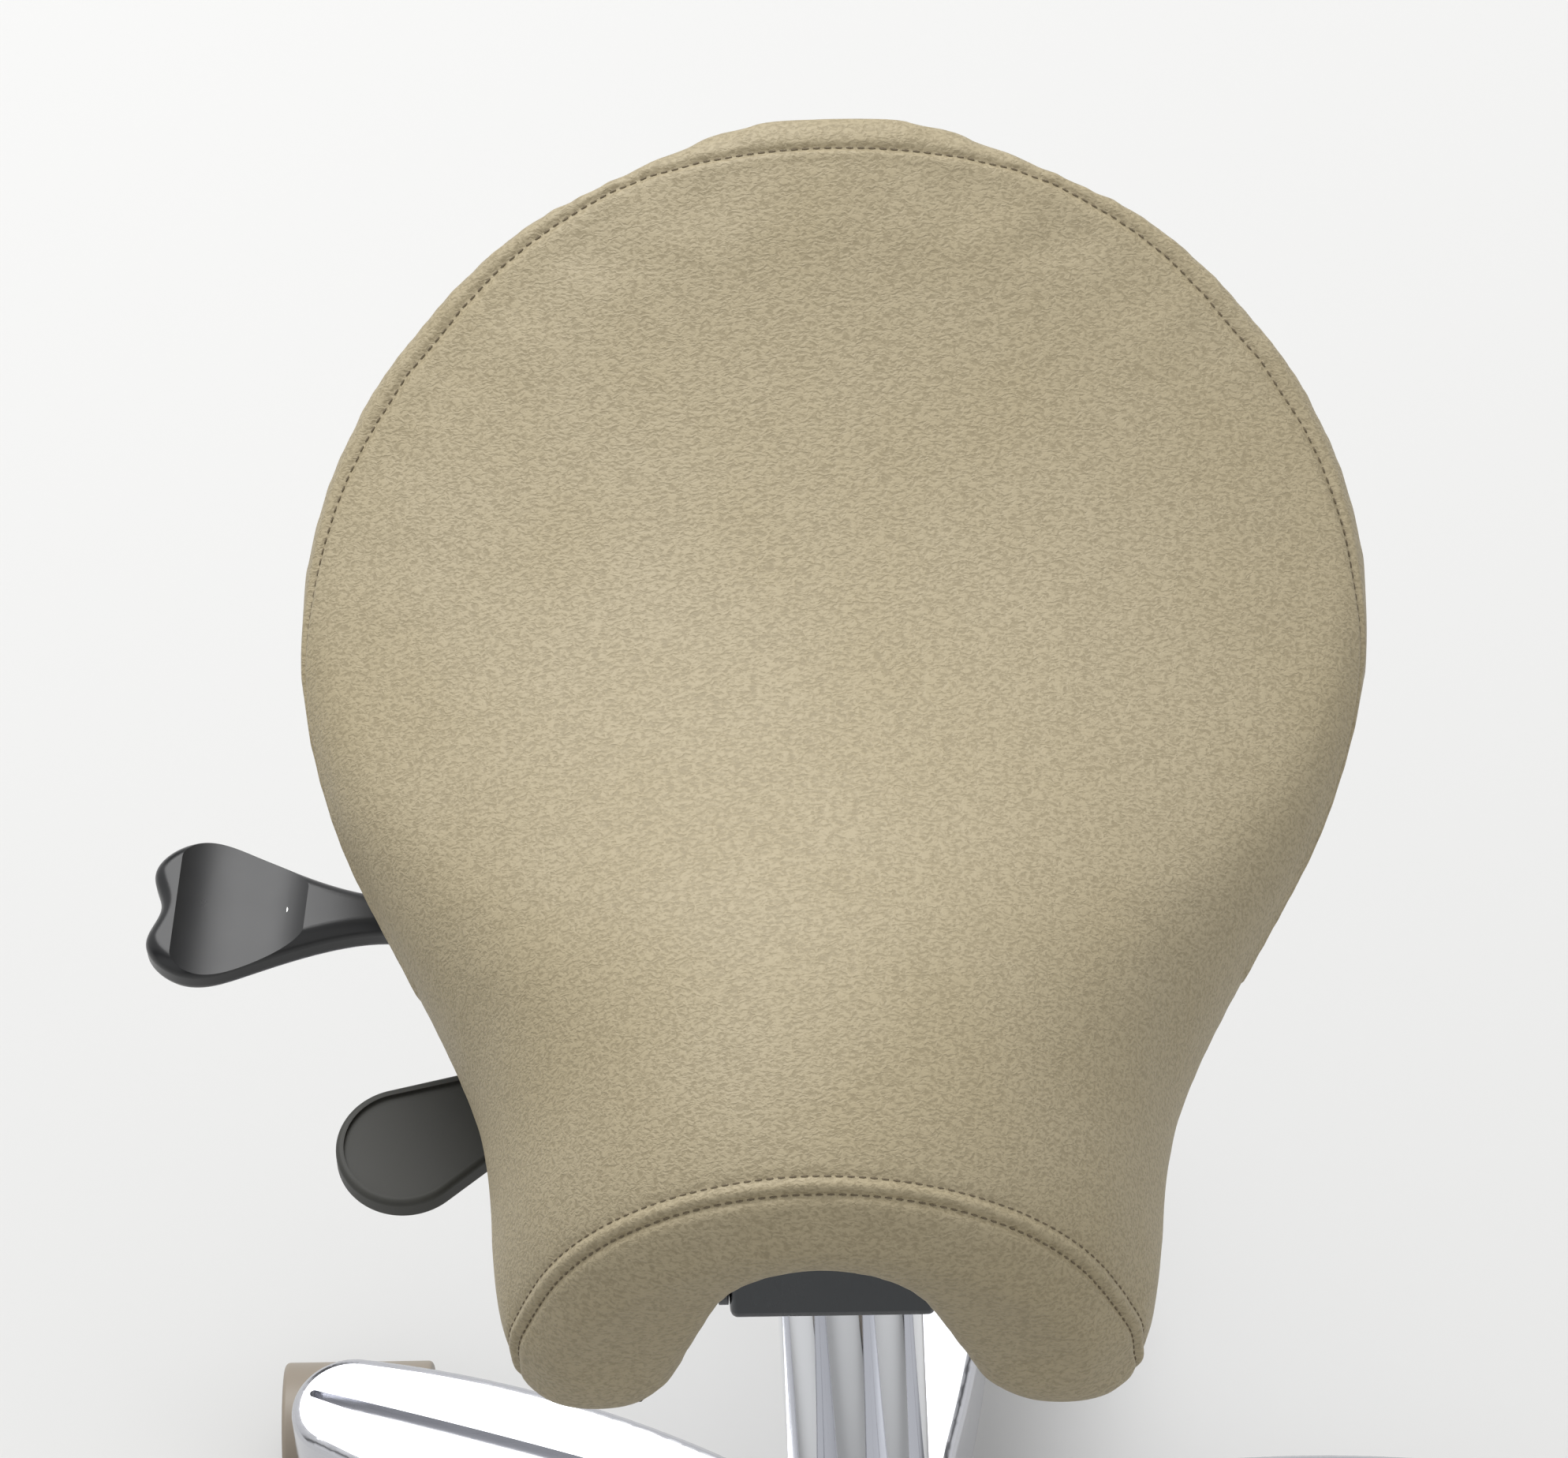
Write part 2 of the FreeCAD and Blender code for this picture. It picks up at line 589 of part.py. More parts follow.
def release_pin():
    """The valve pin that the height lever presses."""
    top = CYLINDER_TOP + PIN_PROUD
    return revolved([
        (0, top - PIN_LENGTH), (PIN_R, top - PIN_LENGTH), (PIN_R, top - 1), (PIN_R - 1, top), (0, top),
    ])


def save_gas_lift():
    """Every piece of the column."""
    save("column_outer_tube", column_outer_tube())
    save("column_guide_bush", column_guide_bush())
    save("lower_bearing_race", ring(BEARING_OUTER_R, ROD_R + 0.5, FLOOR_TOP, CAGE_BOTTOM))
    save("thrust_bearing", thrust_bearing())
    save("upper_bearing_race", ring(BEARING_OUTER_R, ROD_R, UPPER_RACE, COLLAR_BOTTOM))
    save("piston_rod", piston_rod())
    clip_top = TUBE_BOTTOM - SEATED
    save("rod_clip", ring(CLIP_R, ROD_R - 1.5, clip_top - CLIP_HEIGHT, clip_top))
    save("piston", piston())
    save("gas_cylinder", gas_cylinder())
    end_guide = ring(CYLINDER_BORE, ROD_R + RUNNING, CYLINDER_BOTTOM, CYLINDER_BOTTOM + END_GUIDE_HEIGHT)
    save("cylinder_end_guide", end_guide)
    save("release_pin", release_pin())


# Tilt mechanism, with heights over the housing's floor

def at(y, height, x=0.0):
    """A point by its height over the housing's floor."""
    return vec(x, y, MECH_BOTTOM + height)


def housing_block(inset):
    """The housing's side view as a solid, drawn in by a wall."""
    front, back, nose = HOUSING_FRONT + inset, HOUSING_BACK - inset, HOUSING_NOSE_R - inset
    half, floor = HOUSING_HALF - inset, inset
    lift = 40.0 if inset else 0.0
    bend = nose * (1 - math.sqrt(0.5))
    edges = [
        line(at(back, floor), at(front + nose, floor)),
        arc(at(front + nose, floor), at(front + bend, floor + bend), at(front, floor + nose)),
        line(at(front, floor + nose), at(front + 1.5, NOSE_TOP + lift)),
        line(at(front + 1.5, NOSE_TOP + lift), at(TILT_Y / 2, SIDE_TOP_MID + lift)),
        line(at(TILT_Y / 2, SIDE_TOP_MID + lift), at(15, SIDE_TOP_MID + lift)),
        line(at(15, SIDE_TOP_MID + lift), at(back, SIDE_TOP_BACK + lift)),
        line(at(back, SIDE_TOP_BACK + lift), at(back, floor)),
    ]
    body = profile(edges, vec(2 * half, 0, 0))
    return moved(body, vec(-half, 0, 0))


def lever_frame(point):
    """Turn a point given along the height lever's direction into the part's frame."""
    return polar(1.0, HEIGHT_LEVER_TURN).multiply(point.x).add(
        polar(1.0, HEIGHT_LEVER_TURN + 90.0).multiply(point.y)).add(vec(0, 0, point.z))


TAB_INNER = LEVER_ROD_R + 1.5
TAB_WALL = 3.0
TAB_R = LEVER_PIN_R + 2.0


def lever_tab(side):
    """One of the two lugs that carry the height lever's pin."""
    top = MECH_BOTTOM + HEIGHT_LEVER_Z
    x0, x1 = HEIGHT_LEVER_PIVOT - TAB_R, HEIGHT_LEVER_PIVOT + TAB_R
    lug = block(x0, x1, TAB_INNER, TAB_INNER + TAB_WALL, MECH_BOTTOM + SHEET / 2, top)
    cap = Part.makeCylinder(TAB_R, TAB_WALL, vec(HEIGHT_LEVER_PIVOT, TAB_INNER, top), Y)
    hole = Part.makeCylinder(LEVER_PIN_R, TAB_WALL + 2, vec(HEIGHT_LEVER_PIVOT, TAB_INNER - 1, top), Y)
    lug = fused([lug, cap]).cut(hole)
    if side < 0:
        lug = lug.mirror(ORIGIN, Y)
    return turned(lug, HEIGHT_LEVER_TURN)


def mechanism_housing():
    """Pressed channel with a rounded nose, lever slot, shaft holes and the pin lugs."""
    shell = housing_block(0.0)
    side = [edge for edge in shell.Edges if abs(abs(edge.CenterOfMass.x) - HOUSING_HALF) < 0.1]
    low = [edge for edge in side if edge.CenterOfMass.z < MECH_BOTTOM + 30]
    shell = shell.makeFillet(SHEET, [edge for edge in low if edge.BoundBox.ZMin < MECH_BOTTOM + 12])
    shell = shell.cut(housing_block(SHEET))
    shell = fused([shell, lever_tab(1), lever_tab(-1)])
    reach = HOUSING_HALF + 5
    holes = [
        rod(TILT_SHAFT_R + BUSH_WALL, at(TILT_Y, TILT_HEIGHT, -reach), at(TILT_Y, TILT_HEIGHT, reach)),
        rod(SPINDLE_R + RUNNING, at(LOCK_Y, LOCK_HEIGHT, -reach), at(LOCK_Y, LOCK_HEIGHT, reach)),
        Part.makeCylinder(CYLINDER_R + SOCKET_WALL, SHEET + 2, vec(0, 0, MECH_BOTTOM - 1)),
    ]
    slot_half = LEVER_ROD_R + 1.2
    low, high = HEIGHT_LEVER_Z - LEVER_ROD_R - 3.5, HEIGHT_LEVER_Z + LEVER_ROD_R + 3.0
    slot = block(HOUSING_HALF - 8, reach + 5, -slot_half, slot_half, MECH_BOTTOM + low, MECH_BOTTOM + high)
    holes.append(turned(slot, HEIGHT_LEVER_TURN))
    for hole in holes:
        shell = shell.cut(hole)
    return solid_of(shell)


def taper_socket():
    """The welded cup that the gas cylinder's taper jams into."""
    bottom, top = MECH_BOTTOM - SOCKET_BELOW, MECH_BOTTOM + SOCKET_ABOVE

    def bore(height):
        share = (height - TAPER_BOTTOM) / CYLINDER_TAPER
        return CYLINDER_R + (CYLINDER_TOP_R - CYLINDER_R) * share

    outer = CYLINDER_R + SOCKET_WALL
    return revolved([
        (bore(bottom), bottom), (outer - 1.5, bottom), (outer, bottom + 1.5), (outer, top - 2),
        (outer - 2, top), (bore(top), top),
    ])


def cross_bar(radius, y, height, x0, x1):
    """A bar across the mechanism."""
    return rod(radius, at(y, height, x0), at(y, height, x1))


EAR_INNER = HOUSING_HALF + EAR_GAP
EAR_OUTER = EAR_INNER + BRACKET_SHEET
SHAFT_HALF = EAR_OUTER + 3.5
CLIP_GROOVE = 1.0


def clip_places():
    """Where each retaining ring starts along the tilt shaft."""
    return EAR_OUTER + SEATED, -EAR_OUTER - SEATED - CLIP_HEIGHT


def tilt_shaft():
    """The front cross shaft, with a clip groove near each end."""
    shaft = cross_bar(TILT_SHAFT_R, TILT_Y, TILT_HEIGHT, -SHAFT_HALF, SHAFT_HALF)
    for x0 in clip_places():
        x1 = x0 + CLIP_HEIGHT
        ring_space = cross_bar(TILT_SHAFT_R + 1, TILT_Y, TILT_HEIGHT, x0, x1)
        shaft = shaft.cut(ring_space.cut(cross_bar(TILT_SHAFT_R - CLIP_GROOVE, TILT_Y, TILT_HEIGHT, x0, x1)))
    return shaft


def tilt_bushes():
    """Plain bushes in the housing's walls."""
    bushes = []
    for x0 in (HOUSING_HALF - SHEET, -HOUSING_HALF):
        x1 = x0 + SHEET
        bush = cross_bar(TILT_SHAFT_R + BUSH_WALL, TILT_Y, TILT_HEIGHT, x0, x1)
        bushes.append(bush.cut(cross_bar(TILT_SHAFT_R + RUNNING, TILT_Y, TILT_HEIGHT, x0 - 1, x1 + 1)))
    return Part.makeCompound(bushes)


def shaft_clips():
    """Retaining rings in the tilt shaft's grooves."""
    clips = []
    middle = MECH_BOTTOM + TILT_HEIGHT
    for x0 in clip_places():
        x1 = x0 + CLIP_HEIGHT
        clip = cross_bar(TILT_SHAFT_R + 2.5, TILT_Y, TILT_HEIGHT, x0, x1)
        clip = clip.cut(cross_bar(TILT_SHAFT_R - CLIP_GROOVE, TILT_Y, TILT_HEIGHT, x0 - 1, x1 + 1))
        mouth = block(x0 - 1, x1 + 1, TILT_Y - 3, TILT_Y + 3, middle - 20, middle)
        clips.append(clip.cut(mouth))
    return Part.makeCompound(clips)


def bracket_ear(side):
    """A side flange: round about the tilt shaft, deep where the lock slot runs."""
    pivot_y, pivot_z = TILT_Y, TILT_HEIGHT
    top = BRACKET_TOP
    front_top = at(pivot_y - EAR_R + 6, top)
    tangent = at(pivot_y - EAR_R, pivot_z)
    edges = [
        line(front_top, tangent),
        arc(tangent, at(pivot_y - EAR_R * math.sqrt(0.5), pivot_z - EAR_R * math.sqrt(0.5)),
            at(pivot_y, pivot_z - EAR_R)),
        line(at(pivot_y, pivot_z - EAR_R), at(LOCK_Y - 14, EAR_BOTTOM)),
        line(at(LOCK_Y - 14, EAR_BOTTOM), at(EAR_BACK - 8, EAR_BOTTOM)),
        arc(at(EAR_BACK - 8, EAR_BOTTOM), at(EAR_BACK - 2.3, EAR_BOTTOM + 2.3), at(EAR_BACK, EAR_BOTTOM + 8)),
        line(at(EAR_BACK, EAR_BOTTOM + 8), at(EAR_BACK, top)),
        line(at(EAR_BACK, top), front_top),
    ]
    ear = profile(edges, vec(BRACKET_SHEET, 0, 0))
    ear.translate(vec(EAR_INNER, 0, 0))
    ear = ear.cut(cross_bar(TILT_SHAFT_R, TILT_Y, TILT_HEIGHT, EAR_INNER - 1, EAR_OUTER + 1))
    reach = math.hypot(LOCK_Y - TILT_Y, LOCK_HEIGHT - TILT_HEIGHT)
    rest = math.degrees(math.atan2(LOCK_HEIGHT - TILT_HEIGHT, LOCK_Y - TILT_Y))
    half = SPINDLE_R + 0.3

    def on_arc(radius, degrees):
        angle = math.radians(degrees)
        return at(TILT_Y + radius * math.cos(angle), TILT_HEIGHT + radius * math.sin(angle))

    low, high = rest - TILT_FORWARD - 0.3, rest + TILT_BACK + 0.3
    middle = (low + high) / 2
    slot = profile([
        arc(on_arc(reach - half, low), on_arc(reach - half, middle), on_arc(reach - half, high)),
        line(on_arc(reach - half, high), on_arc(reach + half, high)),
        arc(on_arc(reach + half, high), on_arc(reach + half, middle), on_arc(reach + half, low)),
        line(on_arc(reach + half, low), on_arc(reach - half, low)),
    ], vec(BRACKET_SHEET + 2, 0, 0))
    slot.translate(vec(EAR_INNER - 1, 0, 0))
    ends = [Part.makeCylinder(half, BRACKET_SHEET + 2, on_arc(reach, angle).add(vec(EAR_INNER - 1, 0, 0)), X)
            for angle in (low, high)]
    for cutter in [slot] + ends:
        ear = ear.cut(cutter)
    return ear if side > 0 else ear.mirror(ORIGIN, X)


def screw_places():
    """The four seat screws."""
    return [vec(x, y, 0) for x in (-SCREW_X, SCREW_X) for y in (SCREW_FRONT_Y, SCREW_BACK_Y)]


def seat_bracket():
    """Top plate with a narrow front tongue, two ears and four screw holes."""
    z0, z1 = MECH_BOTTOM + BRACKET_TOP - BRACKET_SHEET, MECH_BOTTOM + BRACKET_TOP
    plate = block(-BRACKET_HALF, BRACKET_HALF, BRACKET_FRONT, BRACKET_BACK, z0, z1)
    corners = [edge for edge in plate.Edges if edge.BoundBox.ZLength > BRACKET_SHEET - 0.1]
    plate = plate.makeFillet(12.0, corners)
    tongue = block(-EAR_OUTER, EAR_OUTER, TILT_Y - EAR_R + 6, BRACKET_FRONT + 10, z0, z1)
    bracket = fused([plate, tongue, bracket_ear(1), bracket_ear(-1)])
    window = Part.makeCylinder(CYLINDER_R + 6, 20, vec(0, 0, z0 - 5))
    bracket = bracket.cut(window)
    for place in screw_places():
        bracket = bracket.cut(Part.makeCylinder(SCREW_R + 0.5, 20, place.add(vec(0, 0, z0 - 5))))
    return solid_of(bracket)


def seat_screws():
    """Button-head screws that hold the pan to the bracket."""
    under = MECH_BOTTOM + BRACKET_TOP - BRACKET_SHEET
    top = MECH_BOTTOM + BRACKET_TOP + SEATED + PAN + TEE_FLANGE + 1.0
    screws = []
    for place in screw_places():
        foot = place.add(vec(0, 0, under - SCREW_HEAD_HEIGHT))
        head = Part.makeCylinder(SCREW_HEAD_R, SCREW_HEAD_HEIGHT, foot)
        rim = [edge for edge in head.Edges if abs(edge.CenterOfMass.z - under + SCREW_HEAD_HEIGHT) < 0.01]
        head = head.makeFillet(2.0, rim)
        socket = Part.makeCylinder(2.5, 2.5, foot)
        shank = Part.makeCylinder(SCREW_R, top - under, place.add(vec(0, 0, under)))
        screws.append(fused([head.cut(socket), shank]))
    return Part.makeCompound(screws)


def tee_nut(place, grow):
    """A flanged nut in the pan, or its pocket when grown by a clearance."""
    bottom = MECH_BOTTOM + BRACKET_TOP + SEATED + 0.2
    flange = bottom + PAN + 0.8
    barrel = Part.makeCylinder(TEE_BARREL_R, flange - bottom, place.add(vec(0, 0, bottom)))
    plate = Part.makeCylinder(TEE_FLANGE_R + grow, TEE_FLANGE + grow, place.add(vec(0, 0, flange)))
    return fused([barrel, plate])


def tee_nuts():
    """The four flanged nuts."""
    nuts = []
    for place in screw_places():
        hole = Part.makeCylinder(SCREW_R, 40, place.add(vec(0, 0, MECH_BOTTOM + BRACKET_TOP - 10)))
        nuts.append(tee_nut(place, 0.0).cut(hole))
    return Part.makeCompound(nuts)


# Tilt lock: spindle, washers, springs and nut

PRESSURE_X = EAR_OUTER + CLAMP_WASHER
CAM_X = PRESSURE_X + CAM_R + CAM_OFFSET + CAM_GAP
LOCK_PIVOT = at(LOCK_Y, LOCK_HEIGHT, -CAM_X)
SPRING_COUNT = 3
NUT_X = PRESSURE_X + SPRING_COUNT * DISC_SPRING


def lock_spindle():
    """Cross spindle, flattened past the washer into an eye for the lever's pin."""
    shank = cross_bar(SPINDLE_R, LOCK_Y, LOCK_HEIGHT, -PRESSURE_X, NUT_X + NUT_HEIGHT + 3)
    half = EYE_WIDTH / 2
    neck = block(-CAM_X, -PRESSURE_X, LOCK_Y - half, LOCK_Y + half,
                 MECH_BOTTOM + LOCK_HEIGHT - SPINDLE_R, MECH_BOTTOM + LOCK_HEIGHT + SPINDLE_R)
    eye = Part.makeCylinder(EYE_R, EYE_WIDTH, LOCK_PIVOT.add(vec(0, -half, 0)), Y)
    return solid_of(fused([shank, neck, eye]).cut(lock_pin(0.0, 5.0)))


def lock_pin(grow, extra):
    """The lock lever's pin across the cam and the eye, or its hole."""
    half = CAM_WIDTH / 2 + extra
    return rod(LEVER_PIN_R + grow, LOCK_PIVOT.add(vec(0, -half, 0)), LOCK_PIVOT.add(vec(0, half, 0)))


def clamp_washers():
    """Friction washers outside both ears."""
    washers = []
    for x0 in (EAR_OUTER, -PRESSURE_X):
        washer = cross_bar(CLAMP_WASHER_R, LOCK_Y, LOCK_HEIGHT, x0, x0 + CLAMP_WASHER)
        washers.append(washer.cut(cross_bar(SPINDLE_R, LOCK_Y, LOCK_HEIGHT, x0 - 1, x0 + CLAMP_WASHER + 1)))
    return Part.makeCompound(washers)


def disc_springs():
    """Coned spring washers under the nut."""
    springs = []
    for index in range(SPRING_COUNT):
        base = PRESSURE_X + index * DISC_SPRING
        low, high = (0.0, 0.4) if index % 2 else (0.4, 0.0)
        outline = Part.makePolygon([
            vec(base + high, SPINDLE_R, 0), vec(base + low, CLAMP_WASHER_R - 1, 0),
            vec(base + low + 0.8, CLAMP_WASHER_R - 1, 0), vec(base + high + 0.8, SPINDLE_R, 0),
            vec(base + high, SPINDLE_R, 0),
        ])
        spring = Part.Face(outline).revolve(ORIGIN, X, 360)
        springs.append(moved(spring, at(LOCK_Y, LOCK_HEIGHT)))
    return Part.makeCompound(springs)


def lock_nut():
    """Hexagon nut on the spindle's far end."""
    corners = []
    for index in range(7):
        offset = polar(NUT_FLATS / math.sqrt(3), 60.0 * index)
        corners.append(at(LOCK_Y + offset.x, LOCK_HEIGHT + offset.y, NUT_X))
    nut = Part.Face(Part.makePolygon(corners)).extrude(vec(NUT_HEIGHT, 0, 0))
    return nut.cut(cross_bar(SPINDLE_R, LOCK_Y, LOCK_HEIGHT, NUT_X - 1, NUT_X + NUT_HEIGHT + 1))


# Levers

LEVER_KNEE = HOUSING_HALF + 6.0
DROP = math.tan(math.radians(HEIGHT_LEVER_DROP))


def on_height_lever(reach):
    """A point on the height lever's rod, level as far as its knee."""
    fall = max(0.0, reach - LEVER_KNEE) * DROP
    return lever_frame(vec(reach, 0, MECH_BOTTOM + HEIGHT_LEVER_Z - fall))


def height_lever_rod():
    """The bent rod: a level stretch over the valve pin, then a gentle fall to the handle."""
    level = rod(LEVER_ROD_R, on_height_lever(-6.0), on_height_lever(LEVER_KNEE))
    fall = rod(LEVER_ROD_R, on_height_lever(LEVER_KNEE), on_height_lever(HEIGHT_ROD_REACH))
    joint = Part.makeSphere(LEVER_ROD_R, on_height_lever(LEVER_KNEE))
    lever = fused([level, joint, fall])
    return solid_of(lever.cut(height_pin(RUNNING, 2.0)))


def height_pin(grow, extra):
    """The height lever's pivot pin, or its hole."""
    half = TAB_INNER + TAB_WALL + extra
    return rod(LEVER_PIN_R + grow, lever_frame(vec(HEIGHT_LEVER_PIVOT, -half, MECH_BOTTOM + HEIGHT_LEVER_Z)),
               lever_frame(vec(HEIGHT_LEVER_PIVOT, half, MECH_BOTTOM + HEIGHT_LEVER_Z)))


def height_lever_handle():
    """Moulded fishtail paddle: narrow neck, two lobes and a dished end."""
    neck, half, end, start = PADDLE_NECK / 2, PADDLE_WIDTH / 2, PADDLE_END, PADDLE_START
    upper = [
        vec(start, neck, 0), vec(start + 30, neck - 1, 0), vec(end - 35, half - 4, 0),
        vec(end - 13, half, 0), vec(end - 1.5, half - 12, 0),
    ]
    lower = [flip_y(point) for point in reversed(upper)]
    outline = Part.BSplineCurve()
    outline.interpolate(upper + [vec(end - 5, 0, 0)] + lower)
    paddle = profile([outline.toShape(), line(lower[-1], upper[0])], vec(0, 0, PADDLE_THICK))
    paddle.translate(vec(0, 0, -PADDLE_THICK / 2))
    paddle = paddle.makeFillet(PADDLE_EDGE_R, [edge for edge in paddle.Edges if edge.BoundBox.ZLength < 1.0])
    dish_height = PADDLE_THICK / 2 + PADDLE_DISH_R - PADDLE_DISH
    dish = Part.makeCylinder(PADDLE_DISH_R, 200, vec(end - 32, -100, dish_height), Y)
    paddle = paddle.cut(dish)
    paddle.rotate(vec(start, 0, 0), Y, HEIGHT_LEVER_DROP)
    fall = (start - LEVER_KNEE) * DROP
    paddle.translate(vec(0, 0, MECH_BOTTOM + HEIGHT_LEVER_Z - fall))
    paddle = turned(paddle, HEIGHT_LEVER_TURN)
    bore = rod(LEVER_ROD_R, on_height_lever(LEVER_KNEE), on_height_lever(HEIGHT_ROD_REACH))
    return solid_of(paddle.cut(bore))


LOCK_PADDLE_CENTRE = polar(LOCK_PADDLE_REACH, LOCK_PADDLE_TURN, MECH_BOTTOM + LOCK_PADDLE_Z)
LOCK_NECK = polar(LOCK_PADDLE_REACH - LOCK_PADDLE_LENGTH, LOCK_PADDLE_TURN, MECH_BOTTOM + LOCK_PADDLE_Z)
LOCK_TAIL = LOCK_NECK.add(LOCK_PADDLE_CENTRE.sub(LOCK_NECK).multiply(0.45))
LOCK_ELBOW = LOCK_PIVOT.add(vec(-16.0, 0, -2.0))


def lock_lever_arm():
    """Forked cam head with a bent rod that runs into the paddle."""
    head = Part.makeCylinder(CAM_R, CAM_WIDTH, LOCK_PIVOT.add(vec(CAM_OFFSET, -CAM_WIDTH / 2, 0)), Y)
    slot = EYE_WIDTH / 2 + SEATED
    fork = block(LOCK_PIVOT.x - EYE_R - SEATED, LOCK_PIVOT.x + 2 * CAM_R, LOCK_Y - slot, LOCK_Y + slot,
                 LOCK_PIVOT.z - 2 * CAM_R, LOCK_PIVOT.z + 2 * CAM_R)
    root = LOCK_PIVOT.add(vec(-EYE_R - SEATED, 0, -1.0))
    stretches = [rod(LOCK_ROD_R, root, LOCK_ELBOW), rod(LOCK_ROD_R, LOCK_ELBOW, LOCK_NECK),
                 rod(LOCK_ROD_R, LOCK_NECK, LOCK_TAIL)]
    knees = [Part.makeSphere(LOCK_ROD_R, LOCK_ELBOW), Part.makeSphere(LOCK_ROD_R, LOCK_NECK)]
    arm = fused([head.cut(fork)] + stretches + knees)
    return solid_of(arm.cut(lock_pin(RUNNING, 5.0)))


def lock_lever_handle():
    """Flat paddle with a round end, a raised rim and a shallow recessed face."""

    def plan(inset, depth, z0):
        radius = LOCK_PADDLE_R - inset
        neck = LOCK_PADDLE_NECK / 2 - inset
        start = LOCK_PADDLE_REACH - LOCK_PADDLE_LENGTH + inset
        centre = LOCK_PADDLE_REACH
        lean = math.radians(PADDLE_SHOULDER)
        shoulder = vec(centre - radius * math.cos(lean), radius * math.sin(lean), z0)
        edges = [
            line(vec(start, -neck, z0), vec(start, neck, z0)),
            line(vec(start, neck, z0), shoulder),
            arc(shoulder, vec(centre, radius, z0), vec(centre + radius, 0, z0)),
            arc(vec(centre + radius, 0, z0), vec(centre, -radius, z0), flip_y(shoulder)),
            line(flip_y(shoulder), vec(start, -neck, z0)),
        ]
        return profile(edges, vec(0, 0, depth))

    half = LOCK_PADDLE_THICK / 2
    paddle = plan(0.0, LOCK_PADDLE_THICK, -half)
    paddle = paddle.makeFillet(2.0, [edge for edge in paddle.Edges if edge.BoundBox.ZLength < 1.0])
    paddle = paddle.cut(plan(LOCK_PADDLE_RIM, LOCK_PADDLE_DISH + 1, half - LOCK_PADDLE_DISH))
    paddle = turned(paddle, LOCK_PADDLE_TURN)
    paddle.translate(vec(0, 0, MECH_BOTTOM + LOCK_PADDLE_Z))
    before = LOCK_NECK.sub(LOCK_PADDLE_CENTRE).multiply(0.3).add(LOCK_NECK)
    return solid_of(paddle.cut(rod(LOCK_ROD_R + RUNNING, before, LOCK_TAIL)))


def save_mechanism():
    """Everything between the column and the seat."""
    save("mechanism_housing", mechanism_housing())
    save("taper_socket", taper_socket())
    save("tilt_shaft", tilt_shaft())
    save("tilt_bushes", tilt_bushes())
    save("shaft_clips", shaft_clips())
    save("seat_bracket", seat_bracket())
    save("seat_screws", seat_screws())
    save("tee_nuts", tee_nuts())
    save("lock_spindle", lock_spindle())
    save("clamp_washers", clamp_washers())
    save("disc_springs", disc_springs())
    save("lock_nut", lock_nut())
    save("height_lever_rod", height_lever_rod())
    save("height_lever_pin", height_pin(0.0, 1.0))
    save("height_lever_handle", height_lever_handle())
    save("lock_lever_arm", lock_lever_arm())
    save("lock_lever_pin", lock_pin(0.0, 1.0))
    save("lock_lever_handle", lock_lever_handle())


# Saddle seat

def upper_edges(place, inset, lift):
    """The right half of a section's top: crown, flank and rim arcs, the last cut off at a lift."""
    y = place.y
    crown, half, rim = place.crown - inset, place.half - inset, place.rim
    turn = math.radians(place.turn)
    sine, cosine = math.sin(turn), math.cos(turn)
    drop = crown - rim
    divisor = cosine * sine - (1 - cosine) * (1 - sine)
    crown_r = (half * cosine - drop * (1 - sine)) / divisor
    flank_r = (half - crown_r * sine) / (1 - sine)
    centre_z = crown - crown_r
    flank_x, flank_z = (crown_r - flank_r) * sine, centre_z + (crown_r - flank_r) * cosine
    meet = at(y, centre_z + crown_r * cosine, crown_r * sine)
    between = (turn + math.pi / 2) / 2
    mid = at(y, flank_z + flank_r * math.cos(between), flank_x + flank_r * math.sin(between))
    widest = at(y, rim, half)
    inward, down = half - place.edge_x + inset, rim - place.edge_z
    rim_r = (inward ** 2 + down ** 2) / (2 * inward)
    sweep = math.asin((down - lift) / rim_r) if lift > 0 else math.atan2(down, rim_r - inward)

    def on_rim(share):
        return at(y, rim - rim_r * math.sin(share * sweep), half - rim_r * (1 - math.cos(share * sweep)))

    return at(y, crown), meet, mid, widest, on_rim(0.5), on_rim(1.0)


def lower_points(place, inset, lift):
    """The underside's corners on the right, raised square to the surface by a thickness."""
    y = place.y
    run, rise = place.arch_x - place.foot_x, place.arch_z - place.edge_z
    length = math.hypot(run, rise)
    normal_x, normal_z = rise / length, -run / length
    share = lift / (1 + normal_z)
    edge = at(y, place.edge_z + lift, place.edge_x - inset)
    foot = at(y, place.edge_z + share * (1 + normal_z), place.foot_x + share * normal_x)
    arch = at(y, place.arch_z + lift * normal_z, place.arch_x + lift * normal_x)
    return edge, foot, arch, at(y, place.roof + lift)


def seat_section(place, inset, lift):
    """One closed section: the top drawn in by a skin, the underside raised by a thickness."""
    crown, meet, mid, widest, low, edge = upper_edges(place, inset, lift)
    lowered, foot, arch, roof = lower_points(place, inset, lift)
    skirt = [line(edge, lowered)] if lift < 0 else []
    corner = lowered if lift < 0 else edge
    edges = [arc(meet, mid, widest), arc(widest, low, edge)] + skirt + [line(corner, foot), line(foot, arch)]
    skirt = [line(flip_x(lowered), flip_x(edge))] if lift < 0 else []
    edges += [
        arc(arch, roof, flip_x(arch)), line(flip_x(arch), flip_x(foot)), line(flip_x(foot), flip_x(corner)),
    ]
    edges += skirt + [
        arc(flip_x(edge), flip_x(low), flip_x(widest)), arc(flip_x(widest), flip_x(mid), flip_x(meet)),
        arc(flip_x(meet), crown, meet),
    ]
    return Part.Wire(edges)


def drawn_in(inset):
    """The seat's sections, with the first and last moved inwards by a skin."""
    first, last = SADDLE[0], SADDLE[-1]
    return [first._replace(y=first.y + inset)] + SADDLE[1:-1] + [last._replace(y=last.y - inset)]


